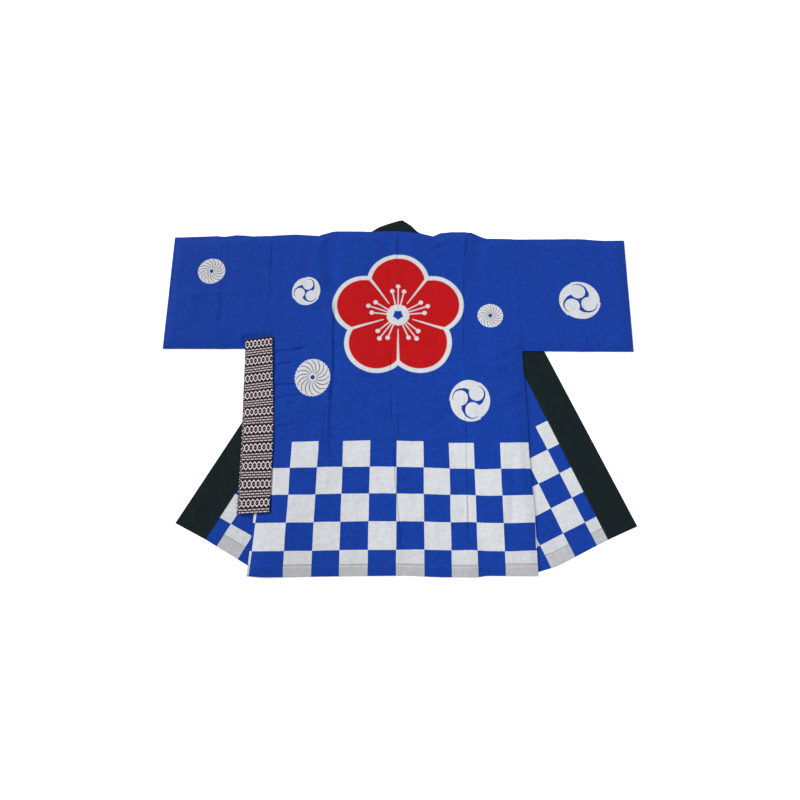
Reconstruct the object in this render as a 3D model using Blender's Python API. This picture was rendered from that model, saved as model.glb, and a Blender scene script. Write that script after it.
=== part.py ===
"""A cotton happi coat laid flat, back side up, with both fronts folded open, and its woven belt.

Units are metres. +Z is up, +Y runs from the hem to the collar, +X is to the right of the laid coat.
The origin is at the middle of the footprint, on the surface that the coat lies on.

The fronts lie under the back. Each one is folded about a slanting line, so that its lower part comes
out beside the back with its outer face up, and the collar on its free edge. Every layer is a closed
wall that lies on the layers under it, a seam gap clear of them.
"""

import math

import bmesh
import bpy
from mathutils import Vector

# Cloth
CLOTH = 0.0010
COLLAR_WALL = 0.0016
SEAM_GAP = 0.0003
HEM_TURN_UP = 0.025
HEM_STEP = 0.0004
HEM_STEP_HALF_SHARE = 0.001

# Collar band, doubled, 80 mm wide when finished
COLLAR_WIDTH_LEFT = 0.0827
COLLAR_WIDTH_RIGHT = 0.0774
COLLAR_INNER_TOP_Y = 0.345

# Places on the laid coat
UNDERARM_LEFT_Y = 0.086
UNDERARM_RIGHT_Y = 0.079
NECK_LEFT = (-0.0844, 0.4218)
NECK_RIGHT = (0.0520, 0.4180)
LEFT_RETURN_Y = 0.3985
RIGHT_RETURN_Y = 0.3885
TURN_STEPS = 4

# Softness of the ramps where a layer climbs over the one below
RAMP_MARGIN = 0.012
RAMP_WIDTH = 0.080

# Belt: folded to and fro into a flat bundle
BELT_LAYERS = 5
BELT_LAYER = 0.0011
BELT_EDGE_INSET = 0.0006
BELT_LOOP_INSET = 0.00015
BELT_DROOP = 0.0020
BELT_DROOP_WIDTH = 0.050
BELT_DROOP_TOP_Y = 0.074
BELT_DROOP_LENGTH = 0.060

# Top fold of the sleeves and the shoulders, from cuff to cuff: x, y
SHOULDER_LINE = (
    (-0.6076, 0.4045),
    (-0.4900, 0.4090),
    (-0.4786, 0.4050),
    (-0.4385, 0.4120),
    (-0.3920, 0.4077),
    (-0.2700, 0.4138),
    (-0.1964, 0.4090),
    (-0.1724, 0.4231),
    NECK_LEFT,
    (0.0000, 0.4243),
    NECK_RIGHT,
    (0.0880, 0.4067),
    (0.1040, 0.4165),
    (0.1300, 0.4200),
    (0.1780, 0.4184),
    (0.2109, 0.3997),
    (0.3300, 0.3985),
    (0.4920, 0.3993),
    (0.5456, 0.3942),
    (0.6077, 0.3953),
)

# Ends of each cuff: top fold, bottom seam
CUFF_LEFT = (SHOULDER_LINE[0], (-0.6000, 0.0862))
CUFF_RIGHT = (SHOULDER_LINE[-1], (0.5938, 0.0780))

# Side edges of the body, from the shoulder to the hem: y, x
LEFT_SIDE = ((0.420, -0.3425), (0.086, -0.3410), (-0.100, -0.3390), (-0.327, -0.3360), (-0.461, -0.3417))
RIGHT_SIDE = ((0.400, 0.3085), (0.079, 0.3105), (-0.170, 0.3132), (-0.285, 0.3146), (-0.461, 0.3120))

# Hem of the back: x, y
HEM_LINE = (
    (-0.342, -0.4597),
    (-0.300, -0.4625),
    (-0.250, -0.4613),
    (-0.010, -0.4585),
    (0.080, -0.4620),
    (0.200, -0.4620),
    (0.210, -0.4590),
    (0.314, -0.4590),
)

# Peak of the collar above the neckline, from left to right: x, y
COLLAR_PEAK = (
    (-0.0900, 0.4150),
    (-0.0557, 0.4390),
    (-0.0290, 0.4500),
    (-0.0038, 0.4585),
    (0.0086, 0.4612),
    (0.0324, 0.4440),
    (0.0494, 0.4250),
    (0.0880, 0.4030),
    (0.1200, 0.4110),
    (0.1800, 0.4110),
    (0.2390, 0.3850),
)

# Corners of the opened fronts at the hem: where the collar seam ends
SEAM_END_LEFT = (-0.4433, -0.3806)
SEAM_END_RIGHT = (0.4781, -0.3812)
COLLAR_LEAN_LEFT = math.radians(29.6)
COLLAR_LEAN_RIGHT = math.radians(22.7)

# Folded edge of each front, shoulder to hem: x, y. The left one starts as the front's own cut edge.
LEFT_EDGE = ((-0.0860, 0.3982), (-0.0892, 0.2427), (-0.2812, -0.4580))
RIGHT_EDGE = ((0.1146, 0.3882), (0.1451, 0.2427), (0.2914, -0.4570))
LEFT_FLAP_TOP_Y = 0.2080
RIGHT_FLAP_TOP_Y = 0.3350

# Where the opened front's hem passes the side of the body, as a share of its way from fold to seam
HEM_KNEE_SHARE = 0.35
HEM_KNEE_DROP = 0.0085
HEM_KNEE_ROWS = 3

# Pressed creases that run down the coat: x at the top, x at the bottom, top y, bottom y, height, half width
CREASES = (
    (-0.4727, -0.4610, 0.400, 0.095, 0.0012, 0.011),
    (-0.1800, -0.1690, 0.415, -0.120, 0.0016, 0.012),
    (-0.0060, -0.0160, 0.405, -0.455, 0.0013, 0.012),
    (0.1736, 0.1600, 0.400, -0.440, 0.0015, 0.012),
    (0.4560, 0.4620, 0.390, 0.090, 0.0012, 0.011),
)
CREASE_FADE = 0.060
CREASE_SIDE_COLUMNS = (-1.6, -0.75, 0.75, 1.6)

# Mesh spacing of the laid cloth
CELL = 0.030
LEAST_CELL = 0.005
FRONT_COLUMNS = 9
FLAP_COLUMNS = 4

# Belt corners: top left, top right, bottom left, bottom right
BELT_CORNERS = ((-0.3963, 0.1066), (-0.3260, 0.1214), (-0.3748, -0.3273), (-0.3019, -0.3200))
BELT_STATIONS = 18
BELT_COLUMNS = 4
BELT_SUPPORT = (-0.3020, -0.3140, -0.3270)
BELT_CLEARANCE = 0.0005

SMOOTH_ANGLE = math.radians(40)
BLUE = (0.009, 0.048, 0.402)
BLACK = (0.007, 0.012, 0.014)
MAROON = (0.120, 0.075, 0.075)


def between(start, end, share):
    """The value a share of the way from start to end."""
    return start + (end - start) * share


def point_between(start, end, share):
    """The point a share of the way from start to end."""
    return (between(start[0], end[0], share), between(start[1], end[1], share))


def look_up(table, value):
    """Reads the second column of a table at a value of its first column, which may rise or fall."""
    rows = sorted(table)
    if value <= rows[0][0]:
        return rows[0][1]
    for low, high in zip(rows, rows[1:]):
        if value <= high[0]:
            return between(low[1], high[1], (value - low[0]) / (high[0] - low[0]))
    return rows[-1][1]


def soft_fall(distance):
    """1 up to the ramp's margin, then a smooth fall to 0 over the ramp's width."""
    share = min(max((distance - RAMP_MARGIN) / RAMP_WIDTH, 0.0), 1.0)
    return 0.5 + 0.5 * math.cos(math.pi * share)


def distance_outside(x, y, outline):
    """Distance from a point to a closed outline, and 0 inside it."""
    inside = False
    nearest = float("inf")
    for (ax, ay), (bx, by) in zip(outline, outline[1:] + outline[:1]):
        if (ay > y) != (by > y) and x < ax + (y - ay) * (bx - ax) / (by - ay):
            inside = not inside
        along_x = bx - ax
        along_y = by - ay
        share = ((x - ax) * along_x + (y - ay) * along_y) / (along_x**2 + along_y**2)
        share = min(max(share, 0.0), 1.0)
        nearest = min(nearest, math.hypot(x - ax - share * along_x, y - ay - share * along_y))
    return 0.0 if inside else nearest


def seam_point(end, lean, side, y):
    """The point at height y on an opened front's collar seam. Side is -1 on the left, 1 on the right."""
    return (end[0] - side * math.tan(lean) * (y - end[1]), y)


def moved_out(point, lean, side, distance):
    """A point moved square to the collar seam, away from the front."""
    return (point[0] + side * math.cos(lean) * distance, point[1] + math.sin(lean) * distance)


def collar_outline():
    """The whole collar as it lies: both legs, the band round the back of the neck, and its peak."""
    left_end = moved_out(SEAM_END_LEFT, COLLAR_LEAN_LEFT, -1, SEAM_GAP)
    right_end = moved_out(SEAM_END_RIGHT, COLLAR_LEAN_RIGHT, 1, SEAM_GAP)
    outline = [moved_out(left_end, COLLAR_LEAN_LEFT, -1, COLLAR_WIDTH_LEFT)]
    outline += list(COLLAR_PEAK)
    outline.append(moved_out(right_end, COLLAR_LEAN_RIGHT, 1, COLLAR_WIDTH_RIGHT))
    outline.append(right_end)
    outline.append(seam_point(right_end, COLLAR_LEAN_RIGHT, 1, COLLAR_INNER_TOP_Y))
    outline.append(seam_point(left_end, COLLAR_LEAN_LEFT, -1, COLLAR_INNER_TOP_Y))
    outline.append(left_end)
    return outline


def folded_edge(table, y):
    """The point at height y on a front's folded edge."""
    return (look_up([(row[1], row[0]) for row in table], y), y)


def front_outline(side_table, edge_table):
    """The stretch of the body that a front's upper layer covers."""
    top = edge_table[0][1]
    bottom = edge_table[-1][1]
    return [(look_up(side_table, top), top), *edge_table, (look_up(side_table, bottom), bottom)]


def return_outline(low_x, high_x, low_y):
    """The strip where the back's cloth, turned over at the shoulder, lies under the back."""
    high_y = NECK_LEFT[1] + CLOTH
    return [(low_x, low_y), (high_x, low_y), (high_x, high_y), (low_x, high_y)]


OPEN_LEFT = [LEFT_EDGE[1], LEFT_EDGE[2], SEAM_END_LEFT]
OPEN_RIGHT = [
    RIGHT_EDGE[0],
    RIGHT_EDGE[2],
    SEAM_END_RIGHT,
    seam_point(SEAM_END_RIGHT, COLLAR_LEAN_RIGHT, 1, RIGHT_EDGE[0][1]),
]
ON_THE_FLOOR = [collar_outline(), OPEN_LEFT, OPEN_RIGHT]
UNDER_THE_BACK = [
    front_outline(LEFT_SIDE, LEFT_EDGE),
    front_outline(RIGHT_SIDE, RIGHT_EDGE),
    return_outline(LEFT_SIDE[0][1], NECK_LEFT[0], LEFT_RETURN_Y),
    return_outline(NECK_RIGHT[0], RIGHT_SIDE[0][1], RIGHT_RETURN_Y),
]


def front_level(x, y):
    """Height of the lowest layer that lies over the collar and the opened fronts."""
    return (COLLAR_WALL + SEAM_GAP) * soft_fall(min(distance_outside(x, y, part) for part in ON_THE_FLOOR))


def crease_height(x, y):
    """How far the pressed creases lift the top layer."""
    height = 0.0
    for top_x, bottom_x, top_y, bottom_y, rise, half_width in CREASES:
        share = (top_y - y) / (top_y - bottom_y)
        ends = min(max(top_y + CREASE_FADE - y, 0.0), max(y - bottom_y + CREASE_FADE, 0.0)) / CREASE_FADE
        offset = (x - between(top_x, bottom_x, share)) / half_width
        height += rise * min(ends, 1.0) * math.exp(-offset * offset)
    return height


def back_level(x, y):
    """Underside of the back, over the upper layers of the fronts."""
    cover = soft_fall(min(distance_outside(x, y, part) for part in UNDER_THE_BACK))
    return front_level(x, y) + (CLOTH + SEAM_GAP) * cover + crease_height(x, y)


def columns_from(start, end, creases):
    """Places across the cloth: close ones over each crease, the shoulder's corners, and even cells."""
    fixed = [start, end, NECK_LEFT[0], NECK_RIGHT[0]]
    wished = [0.5 * (crease[0] + crease[1]) for crease in creases]
    wished += [x for x, _ in SHOULDER_LINE]
    for top_x, bottom_x, _, _, _, half_width in creases:
        wished += [0.5 * (top_x + bottom_x) + step * half_width for step in CREASE_SIDE_COLUMNS]
    for place in wished:
        if all(abs(place - one) > LEAST_CELL for one in fixed):
            fixed.append(place)
    fixed = sorted(place for place in fixed if start <= place <= end)
    places = [start]
    for low, high in zip(fixed, fixed[1:]):
        count = max(1, round((high - low) / CELL))
        places += [between(low, high, step / count) for step in range(1, count)] + [high]
    return places


def turn(centre, heading, lower, upper, steps):
    """Stations round a half turn of cloth, from its upper wall to its lower one.

    centre is where the turn starts on the ground plan and heading its outward direction; lower and
    upper are the heights of the middle of the two walls. Each station is (inner, outer) points.
    """
    radius = 0.5 * (upper - lower)
    height = 0.5 * (upper + lower)
    stations = []
    for step in range(steps + 1):
        angle = math.pi * step / steps
        pair = []
        for reach in (radius - 0.5 * CLOTH, radius + 0.5 * CLOTH):
            out = reach * math.sin(angle)
            place = (centre[0] + heading[0] * out, centre[1] + heading[1] * out)
            pair.append(Vector((*place, height + reach * math.cos(angle))))
        stations.append(tuple(pair))
    return stations


def flat_station(x, y, underside, wall=CLOTH):
    """A station of a wall that lies level: its lower and its upper point."""
    return (Vector((x, y, underside)), Vector((x, y, underside + wall)))


def make_object(name, mesh_builder, colour, roughness):
    """Makes one named object with its own material from a bmesh that is already closed."""
    mesh = bpy.data.meshes.new(name)
    mesh_builder.to_mesh(mesh)
    mesh_builder.free()
    mesh.shade_smooth()
    mesh.set_sharp_from_angle(angle=SMOOTH_ANGLE)
    material = bpy.data.materials.new(name + "_cloth")
    material.use_nodes = True
    shader = material.node_tree.nodes["Principled BSDF"]
    shader.inputs["Base Color"].default_value = (*colour, 1.0)
    shader.inputs["Roughness"].default_value = roughness
    shader.inputs["Metallic"].default_value = 0.0
    mesh.materials.append(material)
    made = bpy.data.objects.new(name, mesh)
    bpy.context.scene.collection.objects.link(made)
    return made


def close_sheet(stations, cells):
    """Gives a sheet its two faces and its cut edges.

    stations maps a key to the (inner, outer) points of the wall there, and cells lists the keys of
    each four-sided cell, anticlockwise as seen from the outer side.
    """
    builder = bmesh.new()
    used = sorted({key for cell in cells for key in cell})
    inner = {key: builder.verts.new(stations[key][0]) for key in used}
    outer = {key: builder.verts.new(stations[key][1]) for key in used}
    sides = set()
    for cell in cells:
        builder.faces.new([outer[key] for key in cell])
        builder.faces.new([inner[key] for key in reversed(cell)])
        sides |= set(zip(cell, cell[1:] + cell[:1]))
    for start, end in sorted(sides):
        if (end, start) not in sides:
            builder.faces.new([inner[start], inner[end], outer[end], outer[start]])
    return builder


def sheet_cells(rows, columns, has, around=False):
    """Cells of a grid of stations, where has(row, column) says that a cell is there."""
    cells = []
    for row in range(rows - 1):
        for column in range(columns if around else columns - 1):
            if has(row, column):
                after = (column + 1) % columns
                cells.append(((row, column), (row, after), (row + 1, after), (row + 1, column)))
    return cells


def back_station(x, row_share, stations, key):
    """One station of the back between its hem and its shoulder line."""
    top = look_up(SHOULDER_LINE, x)
    y = between(look_up(HEM_LINE, x), top, row_share)
    left = look_up(LEFT_SIDE, y) - LEFT_SIDE[0][1]
    right = look_up(RIGHT_SIDE, y) - RIGHT_SIDE[0][1]
    share = (x - LEFT_SIDE[0][1]) / (RIGHT_SIDE[0][1] - LEFT_SIDE[0][1])
    x += between(left, right, share)
    doubled = HEM_STEP if y < look_up(HEM_LINE, x) + HEM_TURN_UP else 0.0
    stations[key] = flat_station(x, y, back_level(x, y), CLOTH + doubled)
    return x, y


def build_back():
    """The back of the body, turned over at both shoulders, with the neckline between them."""
    places = columns_from(LEFT_SIDE[0][1], RIGHT_SIDE[0][1], CREASES[1:4])
    length = NECK_LEFT[1] - HEM_LINE[0][1]
    row_count = round(length / CELL)
    hem_share = HEM_TURN_UP / length
    shares = [0.0, hem_share - HEM_STEP_HALF_SHARE, hem_share + HEM_STEP_HALF_SHARE]
    shares += [between(hem_share, 1.0, (row + 1) / row_count) for row in range(row_count)]
    stations = {}
    for column, place in enumerate(places):
        for row, share in enumerate(shares):
            x, y = back_station(place, share, stations, (row, column))
        upper = back_level(x, y) + 0.5 * CLOTH
        lower = front_level(x, y) + 0.5 * CLOTH
        rounded = turn((x, y), (0.0, 1.0), lower, upper, TURN_STEPS)[1:]
        return_y = LEFT_RETURN_Y if x < 0.0 else RIGHT_RETURN_Y
        rounded.append(tuple(reversed(flat_station(x, return_y, front_level(x, return_y)))))
        for step, station in enumerate(rounded):
            stations[(len(shares) + step, column)] = station
    last_flat = len(shares) - 1
    neck = [places.index(NECK_LEFT[0]), places.index(NECK_RIGHT[0])]

    def has(row, column):
        return row < last_flat or not neck[0] <= column < neck[1]

    cells = sheet_cells(len(shares) + TURN_STEPS + 1, len(places), has)
    return make_object("back", close_sheet(stations, cells), BLUE, 0.85)


def front_rows(edge_table, flap_top):
    """Heights of a front's rows, from the hem to the shoulder's return, with one where the flap ends."""
    bottom = edge_table[-1][1]
    top = edge_table[0][1]
    count = round((top - bottom) / CELL)
    rows = [between(bottom, top, row / count) for row in range(count + 1)]
    return sorted([row for row in rows if abs(row - flap_top) > LEAST_CELL] + [flap_top])


def flap_point(fold, seam, share, hem_share):
    """A point of an opened front between its fold and its collar seam, with the knee of its hem."""
    x, y = point_between(fold, seam, share)
    if share < HEM_KNEE_SHARE:
        knee = share / HEM_KNEE_SHARE
    else:
        knee = (1.0 - share) / (1.0 - HEM_KNEE_SHARE)
    return x, y - HEM_KNEE_DROP * knee * hem_share


def build_front(name, side, side_table, edge_table, seam_end, lean, flap_top):
    """One front: its upper layer from the side seam, the fold, and the opened part on the floor.

    side is -1 for the left front and 1 for the right one. Above flap_top the front isn't folded.
    """
    rows = front_rows(edge_table, flap_top)
    bottom = rows[0]
    lean_out = math.atan2(abs(edge_table[-1][0] - edge_table[1][0]), edge_table[1][1] - edge_table[-1][1])
    heading = (-side * math.cos(lean_out), -math.sin(lean_out))
    seam_top = seam_point(seam_end, lean, side, flap_top)
    stations = {}
    for row, y in enumerate(rows):
        fold = folded_edge(edge_table, y)
        side_x = look_up(side_table, y)
        for column in range(FRONT_COLUMNS + 1):
            x = between(side_x, fold[0], column / FRONT_COLUMNS)
            stations[(row, column)] = flat_station(x, y, front_level(x, y))
        if y > flap_top:
            continue
        upper = front_level(*fold) + 0.5 * CLOTH
        turned = turn(fold, heading, 0.5 * CLOTH, upper, TURN_STEPS)[1:]
        for step, station in enumerate(turned):
            stations[(row, FRONT_COLUMNS + 1 + step)] = station
        down = (flap_top - y) / (flap_top - bottom)
        seam = point_between(seam_top, seam_end, down)
        hem_share = max(0.0, 1.0 - row / HEM_KNEE_ROWS)
        for column in range(1, FLAP_COLUMNS + 1):
            x, place_y = flap_point(fold, seam, column / FLAP_COLUMNS, hem_share)
            key = (row, FRONT_COLUMNS + TURN_STEPS + column)
            stations[key] = tuple(reversed(flat_station(x, place_y, 0.0)))

    def has(row, column):
        return column < FRONT_COLUMNS or rows[row + 1] <= flap_top

    cells = sheet_cells(len(rows), FRONT_COLUMNS + TURN_STEPS + FLAP_COLUMNS + 1, has)
    if side > 0:
        cells = [tuple(reversed(cell)) for cell in cells]
    return make_object(name, close_sheet(stations, cells), BLUE, 0.85)


def build_sleeve(name, side, armhole_table, bottom_y, cuff, crease):
    """One sleeve: a tube pressed flat, folded along its top and sewn along its bottom edge."""
    cuff_top, cuff_bottom = cuff
    start = look_up(armhole_table, bottom_y)
    low, high = sorted((start, cuff_bottom[0]))
    places = columns_from(low, high, [crease])
    if side < 0:
        places.reverse()
    wall_rows = round((cuff_top[1] - bottom_y) / CELL)
    stations = {}
    for row, place in enumerate(places):
        along = (place - start) / (cuff_bottom[0] - start)
        ring = []
        for upper_wall in (False, True):
            for step in range(wall_rows + 1):
                share = step / wall_rows if not upper_wall else 1.0 - step / wall_rows
                x, y = sleeve_place(side, along, share, armhole_table, bottom_y, cuff_top, cuff_bottom)
                level = front_level(x, y)
                if upper_wall:
                    ring.append(flat_station(x, y, level + CLOTH + SEAM_GAP + crease_height(x, y)))
                else:
                    ring.append(tuple(reversed(flat_station(x, y, level))))
            upper = level + 1.5 * CLOTH + SEAM_GAP + crease_height(x, y)
            heading = (0.0, -1.0) if upper_wall else (0.0, 1.0)
            rounded = turn((x, y), heading, level + 0.5 * CLOTH, upper, TURN_STEPS)[1:-1]
            ring += rounded if upper_wall else list(reversed(rounded))
        for column, station in enumerate(ring):
            stations[(row, column)] = station
    cells = sheet_cells(len(places), len(ring), lambda row, column: True, around=True)
    if side < 0:
        cells = [tuple(reversed(cell)) for cell in cells]
    return make_object(name, close_sheet(stations, cells), BLUE, 0.85)


def sleeve_place(side, along, share, armhole_table, bottom_y, cuff_top, cuff_bottom):
    """Ground plan of a sleeve: along runs from armhole to cuff, share from its seam to its top fold."""
    cuff = point_between(cuff_bottom, cuff_top, share)
    y = between(bottom_y, look_up(SHOULDER_LINE, cuff[0]), share)
    armhole = look_up(armhole_table, y) + side * SEAM_GAP
    x = between(armhole, cuff[0], along)
    low = between(bottom_y, cuff_bottom[1], along)
    return x, between(low, look_up(SHOULDER_LINE, x), share)


def build_collar():
    """The doubled collar band: one flat piece with two legs and the peak at the back of the neck."""
    outline = collar_outline()
    builder = bmesh.new()
    lower = [builder.verts.new((x, y, 0.0)) for x, y in outline]
    face = builder.faces.new(list(reversed(lower)))
    raised = bmesh.ops.extrude_face_region(builder, geom=[face])
    upper = [item for item in raised["geom"] if isinstance(item, bmesh.types.BMVert)]
    bmesh.ops.translate(builder, verts=upper, vec=(0.0, 0.0, COLLAR_WALL))
    bmesh.ops.recalc_face_normals(builder, faces=builder.faces)
    return make_object("collar", builder, BLACK, 0.8)


def belt_underside(x, y):
    """Height of the belt's underside: it follows the side of the body and droops a little beside it."""
    level = max(back_level(support, y) for support in BELT_SUPPORT) + CLOTH + BELT_CLEARANCE
    off_body = min(max((look_up(LEFT_SIDE, y) - x) / BELT_DROOP_WIDTH, 0.0), 1.0)
    off_sleeve = min(max((BELT_DROOP_TOP_Y - y) / BELT_DROOP_LENGTH, 0.0), 1.0)
    return level - BELT_DROOP * off_body * off_sleeve


def belt_inset(level, at_top_end):
    """How far the belt's edge lies back at a level, for its long sides and for one of its ends."""
    boundary = level // 2
    if level % 2:
        return 0.0, 0.0
    if boundary in (0, BELT_LAYERS):
        return BELT_EDGE_INSET, BELT_EDGE_INSET
    joined = (boundary % 2 == 1) == at_top_end
    return BELT_EDGE_INSET, BELT_LOOP_INSET if joined else BELT_EDGE_INSET


def belt_point(station, column, level):
    """A point on the belt's surface: along it, across it, and up through its layers."""
    top_left, top_right, bottom_left, bottom_right = BELT_CORNERS
    along = station / BELT_STATIONS
    across = column / BELT_COLUMNS
    left = point_between(top_left, bottom_left, along)
    right = point_between(top_right, bottom_right, along)
    x, y = point_between(left, right, across)
    side_inset, end_inset = belt_inset(level, station == 0)
    if column in (0, BELT_COLUMNS):
        x += side_inset if column == 0 else -side_inset
    if station in (0, BELT_STATIONS):
        y += -end_inset if station == 0 else end_inset
    return Vector((x, y, belt_underside(x, y) + 0.5 * level * BELT_LAYER))


def build_belt():
    """The belt, folded to and fro: one rounded bundle with its layers showing at the edges."""
    levels = 2 * BELT_LAYERS
    builder = bmesh.new()
    corners = {}

    def corner(*key):
        if key not in corners:
            corners[key] = builder.verts.new(belt_point(*key))
        return corners[key]

    for station in range(BELT_STATIONS):
        for column in range(BELT_COLUMNS):
            ground = [
                (station, column),
                (station, column + 1),
                (station + 1, column + 1),
                (station + 1, column),
            ]
            builder.faces.new([corner(*key, 0) for key in ground])
            builder.faces.new([corner(*key, levels) for key in reversed(ground)])
    rim = [(station, 0) for station in range(BELT_STATIONS)]
    rim += [(BELT_STATIONS, column) for column in range(BELT_COLUMNS)]
    rim += [(station, BELT_COLUMNS) for station in range(BELT_STATIONS, 0, -1)]
    rim += [(0, column) for column in range(BELT_COLUMNS, 0, -1)]
    for start, end in zip(rim, rim[1:] + rim[:1]):
        for level in range(levels):
            ring = [corner(*start, level), corner(*end, level)]
            ring += [corner(*end, level + 1), corner(*start, level + 1)]
            builder.faces.new(ring)
    bmesh.ops.recalc_face_normals(builder, faces=builder.faces)
    return make_object("belt", builder, MAROON, 0.8)


def main():
    """Clears the scene and builds the coat and its belt."""
    for existing in list(bpy.data.objects):
        bpy.data.objects.remove(existing, do_unlink=True)
    build_collar()
    build_front("front_left", -1, LEFT_SIDE, LEFT_EDGE, SEAM_END_LEFT, COLLAR_LEAN_LEFT, LEFT_FLAP_TOP_Y)
    build_front("front_right", 1, RIGHT_SIDE, RIGHT_EDGE, SEAM_END_RIGHT, COLLAR_LEAN_RIGHT, RIGHT_FLAP_TOP_Y)
    build_back()
    build_sleeve("sleeve_left", -1, LEFT_SIDE, UNDERARM_LEFT_Y, CUFF_LEFT, CREASES[0])
    build_sleeve("sleeve_right", 1, RIGHT_SIDE, UNDERARM_RIGHT_Y, CUFF_RIGHT, CREASES[4])
    build_belt()


main()
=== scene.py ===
import logging
import math
from dataclasses import dataclass
from enum import Enum
from functools import reduce
from typing import ClassVar

import bmesh
import bpy
import numpy as np
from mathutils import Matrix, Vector, noise
from mathutils.bvhtree import BVHTree


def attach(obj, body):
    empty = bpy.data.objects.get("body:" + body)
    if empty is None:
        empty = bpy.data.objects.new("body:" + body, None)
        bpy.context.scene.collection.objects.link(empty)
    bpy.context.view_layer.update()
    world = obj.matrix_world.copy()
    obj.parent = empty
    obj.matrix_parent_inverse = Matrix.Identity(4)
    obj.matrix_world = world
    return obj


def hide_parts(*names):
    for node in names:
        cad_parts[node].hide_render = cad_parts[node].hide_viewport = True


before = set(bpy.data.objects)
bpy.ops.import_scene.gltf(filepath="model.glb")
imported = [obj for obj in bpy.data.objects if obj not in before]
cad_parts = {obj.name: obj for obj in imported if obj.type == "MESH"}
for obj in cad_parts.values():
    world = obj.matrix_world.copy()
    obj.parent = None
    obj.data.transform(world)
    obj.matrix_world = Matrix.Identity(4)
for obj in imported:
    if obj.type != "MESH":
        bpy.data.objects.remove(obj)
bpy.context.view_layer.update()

LOG = logging.getLogger("happi_coat")
Array = np.ndarray
Piece = bpy.types.Object
Tree = bpy.types.NodeTree
Socket = bpy.types.NodeSocket
Value = Socket | float | tuple[float, ...]
Place = tuple[float, float]
Triple = tuple[float, float, float]

# Sizes of the cloth, in metres
WALL = 0.0009
COLLAR_WALL = 0.0016
HEM = 0.025
CHECK = 0.0625

# Spacing of the meshes: along a piece, across its folds, and from a free edge to the next row
STEP = 0.006
ACROSS = 0.005
EDGE = 0.0007
CLOSEST = 0.001


# ---------------------------------------------------------------- node graphs


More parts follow.
